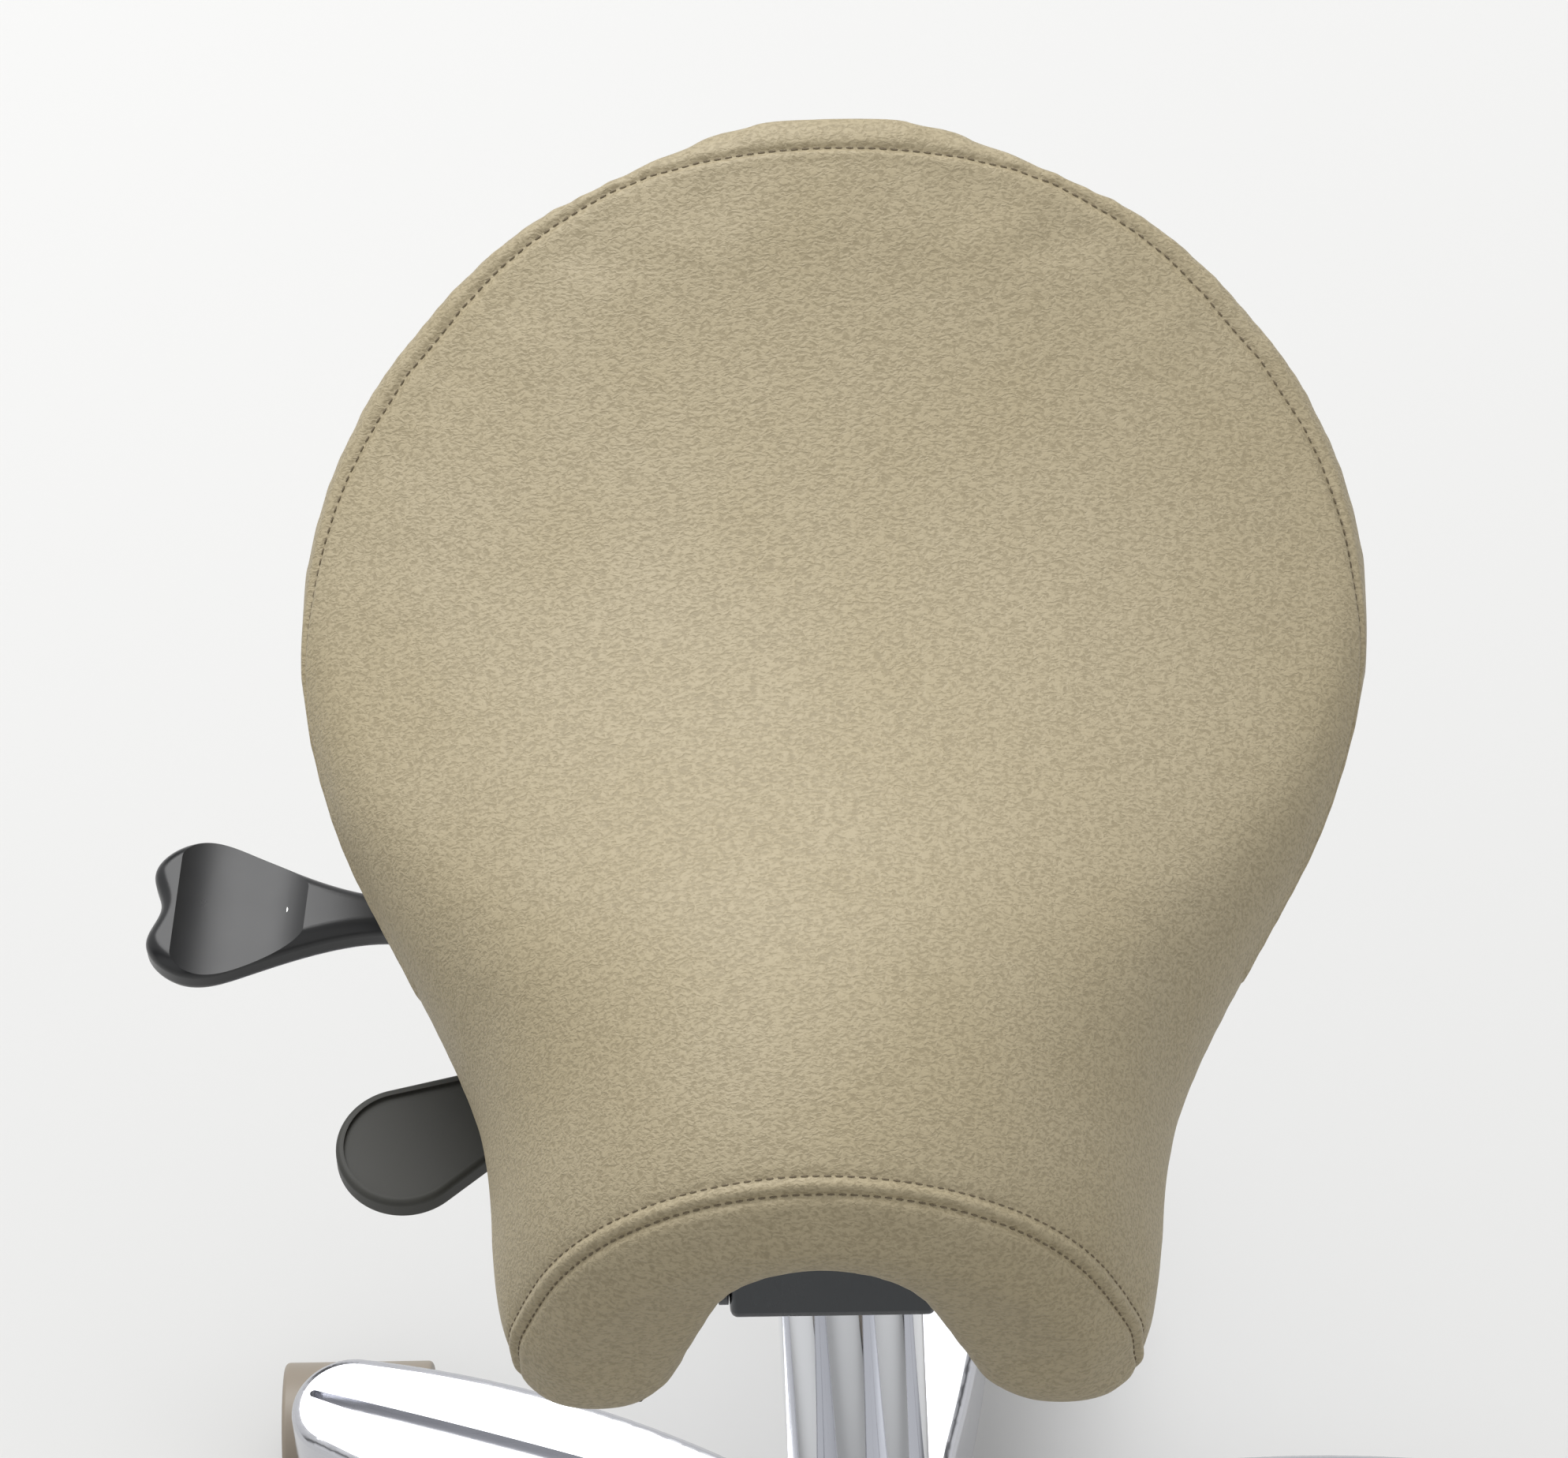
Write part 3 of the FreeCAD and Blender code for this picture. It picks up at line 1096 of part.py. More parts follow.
def seat_loft(inset, lift):
    """A smooth body through the sections."""
    return Part.makeLoft([seat_section(place, inset, lift) for place in drawn_in(inset)], True, False)


def pan_section(place):
    """The pan's closed section: the underside and the same line raised by its thickness."""
    skin = COVER + 2 * SEATED
    edge, foot, arch, roof = lower_points(place, skin, 0.0)
    edge_up, foot_up, arch_up, roof_up = lower_points(place, skin, PAN)
    chain = [arch_up, foot_up, edge_up, edge, foot, arch]
    right = [line(start, end) for start, end in zip(chain, chain[1:])]
    left = [line(flip_x(start), flip_x(end)) for start, end in zip(chain[::-1], chain[-2::-1])]
    under, over = arc(arch, roof, flip_x(arch)), arc(flip_x(arch_up), roof_up, arch_up)
    return Part.Wire(right + [under] + left + [over])


def seat_pan():
    """The moulded shell under the foam, drilled for the flanged nuts."""
    pan = Part.makeLoft([pan_section(place) for place in drawn_in(COVER + SEATED)], True, False)
    pan = pan.common(block(-250, 250, PAN_FRONT, PAN_BACK, MECH_BOTTOM, MECH_BOTTOM + 300))
    for place in screw_places():
        hole = Part.makeCylinder(TEE_BARREL_R, 30, place.add(vec(0, 0, MECH_BOTTOM + BRACKET_TOP - 5)))
        pan = pan.cut(hole)
    return solid_of(pan)


def seat_foam():
    """The foam between pan and cover."""
    foam = seat_loft(COVER + SEATED, PAN + SEATED)
    for place in screw_places():
        foam = foam.cut(tee_nut(place, SEATED))
        end = Part.makeCylinder(SCREW_R + 1, 12, place.add(vec(0, 0, MECH_BOTTOM + BRACKET_TOP + PAN)))
        foam = foam.cut(end)
    return solid_of(foam)


def band_space():
    """The space below and behind the rear seam, seen from the side."""
    start = at(-30.0, 40.0)
    edges = [
        line(at(-30.0, 20.0), start),
        arc(start, at(60.0, 97.0), at(140.0, 152.0)),
        arc(at(140.0, 152.0), at(178.0, 181.0), at(230.0, 204.0)),
        line(at(230.0, 204.0), at(230.0, 20.0)),
        line(at(230.0, 20.0), at(-30.0, 20.0)),
    ]
    return moved(profile(edges, vec(500, 0, 0)), vec(-250, 0, 0))


def seat_cover():
    """The sewn cover, cut into its top panel, front band and rear band."""
    skin = seat_loft(0.0, 0.0).cut(seat_loft(COVER, -COVER))
    front_space = block(-250, 250, -260, SEAM_FRONT_Y, MECH_BOTTOM, MECH_BOTTOM + 300)
    front = skin.common(front_space)
    rear_space = band_space()
    rear = skin.cut(front_space).common(rear_space)
    top = skin.cut(front_space).cut(rear_space)
    return solid_of(top), solid_of(front), Part.makeCompound(rear.Solids)


def save_seat():
    """Pan, foam and the cover's three panels."""
    save("seat_pan", seat_pan())
    save("seat_foam", seat_foam())
    top, front, rear = seat_cover()
    save("seat_top_panel", top)
    save("seat_front_band", front)
    save("seat_rear_band", rear)


os.makedirs("parts", exist_ok=True)
save("star_base", star_base())
save("caster_sleeves", caster_sleeves())
save_casters()
save_gas_lift()
save_mechanism()
save_seat()
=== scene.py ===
"""Looks of the saddle stool: upholstery, metal and plastic finishes, studio and camera.

Every length is in metres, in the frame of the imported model: the floor is z = 0, the column
stands on the z axis, the seat's front faces -y and both levers are on the -x side.
"""
from __future__ import annotations

import logging
import math
from dataclasses import dataclass, field
from enum import Enum
from typing import Any, Sequence

import bmesh
import bpy
import numpy as np
from mathutils import Matrix, Vector


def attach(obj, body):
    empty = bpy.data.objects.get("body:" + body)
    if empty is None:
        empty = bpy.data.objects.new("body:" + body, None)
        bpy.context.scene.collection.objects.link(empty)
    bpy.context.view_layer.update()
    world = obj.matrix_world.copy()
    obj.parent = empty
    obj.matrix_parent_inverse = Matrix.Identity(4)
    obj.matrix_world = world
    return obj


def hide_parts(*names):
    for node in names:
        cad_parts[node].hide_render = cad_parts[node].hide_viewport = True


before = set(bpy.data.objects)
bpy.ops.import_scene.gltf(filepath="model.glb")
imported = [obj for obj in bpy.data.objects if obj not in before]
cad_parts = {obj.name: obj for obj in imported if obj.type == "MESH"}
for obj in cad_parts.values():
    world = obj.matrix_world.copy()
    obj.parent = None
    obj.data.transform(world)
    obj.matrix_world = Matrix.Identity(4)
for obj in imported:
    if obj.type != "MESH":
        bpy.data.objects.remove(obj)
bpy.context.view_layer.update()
LOG = logging.getLogger("saddle_stool")

# Heights on the seat are counted from this level, in the rest pose.
MECH_FLOOR = 0.520
MM = 0.001


def linear(hex_colour: str) -> tuple[float, float, float, float]:
    """Turn an sRGB hex colour into the linear colour that shaders take.

    Args:
        hex_colour: Six hex digits, with or without a leading hash.

    Returns:
        Red, green, blue and an alpha of one.
    """
    digits = hex_colour.lstrip("#")
    channels = [int(digits[i:i + 2], 16) / 255.0 for i in (0, 2, 4)]
    red, green, blue = (
        c / 12.92 if c <= 0.04045 else ((c + 0.055) / 1.055) ** 2.4 for c in channels)
    return red, green, blue, 1.0


def per_mm(size_mm: float) -> float:
    """Give the texture scale whose features are about that many millimetres across."""
    return 1000.0 / size_mm


def add_node(tree: bpy.types.NodeTree, kind: str, inputs: dict[Any, Any] | None = None,
             **settings: Any) -> bpy.types.Node:
    """Add one shader node, set it up and feed its inputs.

    Args:
        tree: The node tree to add to.
        kind: The node's class name, such as ShaderNodeTexNoise.
        inputs: Input name or index, each with a value or with the output socket that feeds it.
        settings: Properties of the node.

    Returns:
        The new node.
    """
    node = tree.nodes.new(kind)
    for name, value in settings.items():
        setattr(node, name, value)
    for name, value in (inputs or {}).items():
        if isinstance(value, bpy.types.NodeSocket):
            tree.links.new(value, node.inputs[name])
        else:
            node.inputs[name].default_value = value
    return node


def object_place(tree: bpy.types.NodeTree) -> bpy.types.NodeSocket:
    """Give each point's place on its own object."""
    return add_node(tree, "ShaderNodeTexCoord").outputs["Object"]


def noise(tree: bpy.types.NodeTree, place: bpy.types.NodeSocket, scale: float, detail: float,
          roughness: float = 0.5, output: str = "Fac") -> bpy.types.NodeSocket:
    """Add a cloudy texture.

    Args:
        tree: The node tree to add to.
        place: Where the texture is read.
        scale: How fine it is, as per_mm gives it.
        detail: How many finer layers it has.
        roughness: How strong the finer layers are.
        output: Fac for one value or Color for three.

    Returns:
        The texture's output.
    """
    return add_node(tree, "ShaderNodeTexNoise", {
        "Vector": place, "Scale": scale, "Detail": detail,
        "Roughness": roughness}).outputs[output]


def remap(tree: bpy.types.NodeTree, value: bpy.types.NodeSocket, source: tuple[float, float],
          target: tuple[float, float], **settings: Any) -> bpy.types.NodeSocket:
    """Map one range of a value to another, held at both ends.

    Args:
        tree: The node tree to add to.
        value: The value to map.
        source: The range it is read in.
        target: What the range's two ends turn into.
        settings: Properties of the node.

    Returns:
        The mapped value.
    """
    return add_node(tree, "ShaderNodeMapRange", {
        "Value": value, "From Min": source[0], "From Max": source[1],
        "To Min": target[0], "To Max": target[1]}, **settings).outputs[0]


def compute(tree: bpy.types.NodeTree, operation: str, *values: Any) -> bpy.types.NodeSocket:
    """Calculate one value from others.

    Args:
        tree: The node tree to add to.
        operation: What is done with them.
        values: Numbers or output sockets, in the operation's order.

    Returns:
        The result.
    """
    return add_node(tree, "ShaderNodeMath", dict(enumerate(values)),
                    operation=operation).outputs[0]


def blend(tree: bpy.types.NodeTree, share: bpy.types.NodeSocket, first: Any,
          second: Any) -> bpy.types.NodeSocket:
    """Mix two colours.

    Args:
        tree: The node tree to add to.
        share: How much of the second colour there is.
        first: The first colour, or the output socket that gives it.
        second: The second colour, or the output socket that gives it.

    Returns:
        The mixed colour.
    """
    return add_node(tree, "ShaderNodeMix", {"Factor": share, "A": first, "B": second},
                    data_type="RGBA").outputs["Result"]


def bump(tree: bpy.types.NodeTree, height: bpy.types.NodeSocket, strength: float,
         depth_mm: float) -> bpy.types.NodeSocket:
    """Tilt the shading by a fine relief.

    Args:
        tree: The node tree to add to.
        height: The relief.
        strength: How strongly it tells.
        depth_mm: How many millimetres deep it is.

    Returns:
        The tilted normal.
    """
    return add_node(tree, "ShaderNodeBump", {
        "Height": height, "Strength": strength, "Distance": depth_mm * MM}).outputs["Normal"]


def blank_material(name: str) -> tuple[bpy.types.Material, bpy.types.NodeTree]:
    """Make an empty node material.

    Args:
        name: The material's name.

    Returns:
        The material and its cleared node tree.
    """
    material = bpy.data.materials.new(name)
    material.use_nodes = True
    material.node_tree.nodes.clear()
    return material, material.node_tree


def close_material(tree: bpy.types.NodeTree, inputs: dict[str, Any]) -> None:
    """End a tree in one surface shader.

    Args:
        tree: The material's node tree.
        inputs: Inputs of the surface shader.
    """
    surface = add_node(tree, "ShaderNodeBsdfPrincipled", inputs)
    add_node(tree, "ShaderNodeOutputMaterial", {"Surface": surface.outputs["BSDF"]})


@dataclass(frozen=True)
class GrainedVinyl:
    """Coated upholstery fabric, embossed like wrinkled hide and stretched over foam."""

    name: str = "grained_vinyl_taupe"
    base: str = "BDB092"
    # Colour of the painted shade in the grain's valleys.
    valley_shade: str = "887B5F"
    cast: str = "B6A887"
    sheen: str = "E9DFC8"
    wander_mm: float = 4.0
    wander_share: float = 0.9
    stretch: tuple[float, float, float] = (0.5, 1.0, 0.8)
    wrinkle_mm: float = 1.0
    pore_mm: float = 0.7
    pore_share: float = 0.5
    patch_mm: float = 70.0
    patch_share: float = 0.6
    valley_shade_share: float = 0.62
    emboss_mm: float = 0.2
    roughness: float = 0.5

    def material(self) -> bpy.types.Material:
        """Build the material."""
        material, tree = blank_material(self.name)
        place = object_place(tree)
        folds = noise(tree, self.wandering(tree, place), per_mm(self.wrinkle_mm), 1.5, 0.55)
        raised = remap(tree, folds, (0.28, 0.68), (0.0, 1.0), interpolation_type="SMOOTHSTEP")
        pores = noise(tree, place, per_mm(self.pore_mm), 3.0, 0.65)
        patch = noise(tree, place, per_mm(self.patch_mm), 3.0)
        relief = compute(tree, "MULTIPLY_ADD", pores, self.pore_share, raised)
        cast = remap(tree, patch, (0.35, 0.65), (0.0, self.patch_share))
        ground = blend(tree, cast, linear(self.base), linear(self.cast))
        # Painted shade: the relief's low places, the valleys of the grain, are coloured darker, as
        # the shade that falls into them.
        depth = remap(tree, relief, (0.1, 1.1), (self.valley_shade_share, 0.0))
        gloss = remap(tree, pores, (0.0, 1.0), (self.roughness - 0.06, self.roughness + 0.1))
        close_material(tree, {
            "Base Color": blend(tree, depth, ground, linear(self.valley_shade)), "Roughness": gloss,
            "Normal": bump(tree, relief, 0.8, self.emboss_mm), "IOR": 1.46,
            "Sheen Weight": 0.12, "Sheen Roughness": 0.5, "Sheen Tint": linear(self.sheen)})
        return material

    def wandering(self, tree: bpy.types.NodeTree,
                  place: bpy.types.NodeSocket) -> bpy.types.NodeSocket:
        """Bend the place, so that wrinkles run in short wavy lines, mostly across the seat.

        Args:
            tree: The material's node tree.
            place: Each point's place on its object.

        Returns:
            The bent place.
        """
        drift = noise(tree, place, per_mm(self.wander_mm), 2.0, 0.6, "Color")
        centred = add_node(tree, "ShaderNodeVectorMath", {0: drift, 1: (0.5, 0.5, 0.5)},
                           operation="SUBTRACT").outputs[0]
        reach = self.wander_share * self.wander_mm * MM
        shift = add_node(tree, "ShaderNodeVectorMath", {0: centred, "Scale": reach},
                         operation="SCALE").outputs[0]
        moved = add_node(tree, "ShaderNodeVectorMath", {0: place, 1: shift},
                         operation="ADD").outputs[0]
        return add_node(tree, "ShaderNodeMapping", {
            "Vector": moved, "Scale": self.stretch}).outputs[0]


@dataclass(frozen=True)
class MouldedPlastic:
    """Injection-moulded polymer with an eroded, slightly pebbled surface."""

    name: str
    base: str
    roughness: float
    texture_mm: float
    texture_depth_mm: float
    mottle: float
    rubbed: str
    cloud_mm: float = 28.0
    gloss_spread: float = 0.07

    def material(self) -> bpy.types.Material:
        """Build the material."""
        material, tree = blank_material(self.name)
        place = object_place(tree)
        pebble = noise(tree, place, per_mm(self.texture_mm), 2.0)
        cloud = noise(tree, place, per_mm(self.cloud_mm), 4.0, 0.6)
        share = remap(tree, cloud, (0.3, 0.75), (0.0, self.mottle))
        gloss = remap(tree, cloud, (0.0, 1.0), (
            self.roughness - self.gloss_spread, self.roughness + self.gloss_spread))
        close_material(tree, {
            "Base Color": blend(tree, share, linear(self.base), linear(self.rubbed)),
            "Roughness": gloss, "Normal": bump(tree, pebble, 0.6, self.texture_depth_mm),
            "IOR": 1.5})
        return material


class Work(Enum):
    """How a metal surface was left, with the spread of its roughness and its relief in mm."""

    POLISHED = ("polished", 0.04, 0.03)
    PLATED = ("plated", 0.02, 0.004)
    GROUND = ("ground", 0.1, 0.006)
    SATIN = ("satin", 0.1, 0.006)


@dataclass(frozen=True)
class Metal:
    """A bare or plated metal, told apart by its colour and by how it was worked."""

    name: str
    base: str
    work: Work
    roughness: float
    lines_mm: float = 0.6
    lines_stretch: tuple[float, float, float] = (1.0, 1.0, 0.08)
    ripple_mm: float = 14.0
    smear_mm: float = 45.0
    least_roughness: float = 0.02

    def material(self) -> bpy.types.Material:
        """Build the material."""
        material, tree = blank_material(self.name)
        place = object_place(tree)
        if self.work in (Work.GROUND, Work.SATIN):
            drawn = add_node(tree, "ShaderNodeMapping", {
                "Vector": place, "Scale": self.lines_stretch}).outputs[0]
            grain = noise(tree, drawn, per_mm(self.lines_mm), 3.0)
        else:
            grain = noise(tree, place, per_mm(self.ripple_mm), 2.0)
        _, spread, relief_mm = self.work.value
        smear = noise(tree, place, per_mm(self.smear_mm), 5.0, 0.62)
        gloss = remap(tree, compute(tree, "MULTIPLY", grain, smear), (0.1, 0.45), (
            max(self.least_roughness, self.roughness - spread / 2), self.roughness + spread))
        close_material(tree, {
            "Base Color": linear(self.base), "Metallic": 1.0, "Roughness": gloss,
            "Normal": bump(tree, grain, 0.5, relief_mm)})
        return material


@dataclass(frozen=True)
class Thread:
    """Bonded polyester sewing thread, twisted from two strands."""

    name: str = "sewing_thread_umber"
    base: str = "5E5342"
    second_strand: str = "8A7D66"
    twist_mm: float = 0.5
    roughness: float = 0.7

    def material(self) -> bpy.types.Material:
        """Build the material."""
        material, tree = blank_material(self.name)
        twist = noise(tree, object_place(tree), per_mm(self.twist_mm), 1.0)
        colour = blend(tree, twist, linear(self.base), linear(self.second_strand))
        close_material(tree, {"Base Color": colour, "Roughness": self.roughness, "IOR": 1.5})
        return material


class Finish(Enum):
    """The finishes on the stool, each named for its material and how it was made."""

    VINYL = GrainedVinyl()
    THREAD = Thread()
    POLISHED_ALUMINIUM = Metal("polished_die_cast_aluminium", "C6C7CC", Work.POLISHED, 0.2)
    CHROME = Metal("bright_chrome_plate", "E4E6EA", Work.PLATED, 0.05)
    GUNMETAL = Metal("satin_gunmetal_powder", "424446", Work.SATIN, 0.3)
    ZINC = Metal("clear_zinc_plate", "B9BAB6", Work.PLATED, 0.3)
    GROUND_STEEL = Metal("ground_bearing_steel", "C2C3C6", Work.GROUND, 0.2)
    LEVER_PLASTIC = MouldedPlastic(
        "glass_filled_nylon_black", "17181A", 0.3, 1.2, 0.012, 0.06, "3A3C3E")
    LOCK_PLASTIC = MouldedPlastic("eroded_nylon_charcoal", "383834", 0.55, 0.8, 0.03, 0.2, "55554F")
    PAN_PLASTIC = MouldedPlastic("polypropylene_black", "1B1B1C", 0.5, 1.0, 0.03, 0.1, "3B3B3B")
    HOOD_PLASTIC = MouldedPlastic("nylon_taupe", "9C9183", 0.4, 1.0, 0.015, 0.15, "A99E8E")
    WHEEL_PLASTIC = MouldedPlastic("nylon_tread_grey", "3C3B3A", 0.48, 0.9, 0.02, 0.25, "6A6762")
    BUSH_PLASTIC = MouldedPlastic("acetal_natural", "DAD8CF", 0.35, 1.0, 0.01, 0.1, "C9C5B8")
    FOAM = MouldedPlastic("cut_polyurethane_foam", "D8CFAE", 0.9, 1.4, 0.3, 0.3, "C4B98F")

    def material(self) -> bpy.types.Material:
        """Give the finish's material, built once."""
        found = bpy.data.materials.get(self.value.name)
        return found or self.value.material()


def deselect_all() -> None:
    """Leave nothing selected, so that the next operator acts on its own object alone."""
    if bpy.context.object and bpy.context.object.mode != "OBJECT":
        bpy.ops.object.mode_set(mode="OBJECT")
    bpy.ops.object.select_all(action="DESELECT")


def make_active(piece: bpy.types.Object) -> None:
    """Select one object alone and make it the active one."""
    deselect_all()
    piece.select_set(True)
    bpy.context.view_layer.objects.active = piece


def dress(piece: bpy.types.Object, finish: Finish) -> None:
    """Give an object one finish all over.

    Args:
        piece: The object.
        finish: What it is finished in.
    """
    piece.data.materials.clear()
    piece.data.materials.append(finish.material())


def coordinates(mesh: bpy.types.Mesh) -> np.ndarray:
    """Read a mesh's points as rows of x, y and z."""
    flat = np.empty(len(mesh.vertices) * 3)
    mesh.vertices.foreach_get("co", flat)
    return flat.reshape(-1, 3)


def set_coordinates(mesh: bpy.types.Mesh, points: np.ndarray) -> None:
    """Write a mesh's points back.

    Args:
        mesh: The mesh.
        points: Rows of x, y and z, in the mesh's order.
    """
    mesh.vertices.foreach_set("co", points.ravel())
    mesh.update()


def normals(mesh: bpy.types.Mesh) -> np.ndarray:
    """Read a mesh's point normals as rows."""
    flat = np.empty(len(mesh.vertices) * 3)
    mesh.vertex_normals.foreach_get("vector", flat)
    return flat.reshape(-1, 3)


def apply_modifier(piece: bpy.types.Object, kind: str, **settings: Any) -> None:
    """Add a modifier and apply it at once.

    Args:
        piece: The object.
        kind: The modifier's type.
        settings: Properties of the modifier.
    """
    make_active(piece)
    bpy.ops.object.modifier_add(type=kind)
    modifier = piece.modifiers[-1]
    for name, value in settings.items():
        setattr(modifier, name, value)
    bpy.ops.object.modifier_apply(modifier=modifier.name)


def eased(at: np.ndarray, start: float, end: float) -> np.ndarray:
    """Rise smoothly from 0 at a start to 1 at an end.

    Args:
        at: Where to read the rise.
        start: Where it begins.
        end: Where it ends, which may lie below the start.

    Returns:
        The rise at each place.
    """
    share = np.clip((at - start) / (end - start), 0.0, 1.0)
    return share * share * (3.0 - 2.0 * share)


@dataclass(frozen=True)
class SmoothTable:
    """Values along one axis, joined by an even curve."""

    rows: tuple[tuple[float, float], ...]
    blur: float = 0.006
    step: float = 0.001

    def at(self, where: np.ndarray) -> np.ndarray:
        """Read the curve at each place."""
        reach = 3 * self.blur
        grid = np.arange(self.rows[0][0] - 2 * reach, self.rows[-1][0] + 2 * reach, self.step)
        plain = np.interp(grid, [row[0] for row in self.rows], [row[1] for row in self.rows])
        window = np.exp(-0.5 * (np.arange(-reach, reach + self.step, self.step) / self.blur) ** 2)
        padded = np.pad(plain, len(window) // 2, mode="edge")
        even = np.convolve(padded, window / window.sum(), mode="valid")[:len(grid)]
        return np.interp(where, grid, even)


@dataclass(frozen=True)
class FrontSeam:
    """The seam round the gullet in one upright plane, with a second row of thread beside it."""

    y: float = -0.1655
    reach: float = 0.05
    second_row: float = 0.0048
    second_share: float = 0.6
    ridge: float = 0.0024
    ridge_half: float = 0.0014

    def away(self, points: np.ndarray) -> np.ndarray:
        """Give each point's distance from the seam, positive on the top panel's side."""
        return points[:, 1] - self.y

    def near(self, points: np.ndarray) -> np.ndarray:
        """Tell which points the seam can reach."""
        return points[:, 1] < self.y + self.reach


@dataclass(frozen=True)
class RearSeam:
    """The seam between the top panel and the rear band, one curve when seen from the side."""

    line: SmoothTable = SmoothTable((
        (-0.050, 0.076), (0.004, 0.090), (0.023, 0.095), (0.053, 0.103), (0.078, 0.1135),
        (0.091, 0.1185), (0.105, 0.1247), (0.118, 0.1305), (0.130, 0.137), (0.147, 0.148),
        (0.160, 0.1573), (0.173, 0.1665), (0.183, 0.175), (0.193, 0.185), (0.197, 0.1905),
        (0.199, 0.1955), (0.2005, 0.202), (0.203, 0.215), (0.230, 0.40)), 0.002)
    front_end: float = -0.045

    def away(self, points: np.ndarray) -> np.ndarray:
        """Give each point's distance from the seam, positive on the top panel's side."""
        y, height = points[:, 1], points[:, 2] - MECH_FLOOR
        gap = 0.001
        slope = (self.line.at(y + gap) - self.line.at(y - gap)) / (2 * gap)
        return (height - self.line.at(y)) / np.sqrt(1.0 + slope ** 2)

    def near(self, points: np.ndarray) -> np.ndarray:
        """Tell which points the seam can reach."""
        return points[:, 1] > self.front_end


@dataclass(frozen=True)
class StuffedOutline:
    """How the stuffed cover leaves the foam's plan: fuller behind and rounder at both ends."""

    widening: SmoothTable = SmoothTable((
        (-0.180, -0.085), (-0.173, -0.070), (-0.165, -0.042), (-0.155, -0.025), (-0.140, -0.013),
        (-0.110, -0.008), (-0.060, -0.003), (-0.030, 0.005), (0.000, 0.016), (0.020, 0.012),
        (0.050, 0.005), (0.085, 0.000), (0.115, 0.008), (0.135, 0.018), (0.148, 0.032),
        (0.168, 0.034), (0.182, 0.020), (0.190, 0.004), (0.197, -0.030), (0.210, -0.070)), 0.004)
    free_height: float = 0.016
    crown_lengths: tuple[float, float] = (0.188, 0.203)
    crown_push: float = 0.0045
    crown_half: float = 0.062
    crown_least: float = -0.6
    sway: float = 0.0020
    swing: float = 0.018

    def moved(self, points: np.ndarray, edge_height: np.ndarray) -> np.ndarray:
        """Give the points of the stuffed form.

        Args:
            points: Points of the plain form.
            edge_height: The height of the pan's outer edge beside each point, where nothing moves.

        Returns:
            The points in their new places.
        """
        free = eased(points[:, 2] - edge_height, 0.0, self.free_height)
        end = eased(points[:, 1], *self.crown_lengths)
        round_end = np.clip(1.0 - (points[:, 0] / self.crown_half) ** 2, self.crown_least, 1.0)
        drift = self.sway + self.swing * points[:, 1]
        shift = np.zeros_like(points)
        shift[:, 0] = free * (points[:, 0] * self.widening.at(points[:, 1]) + drift)
        shift[:, 1] = end * round_end * self.crown_push
        return points + shift


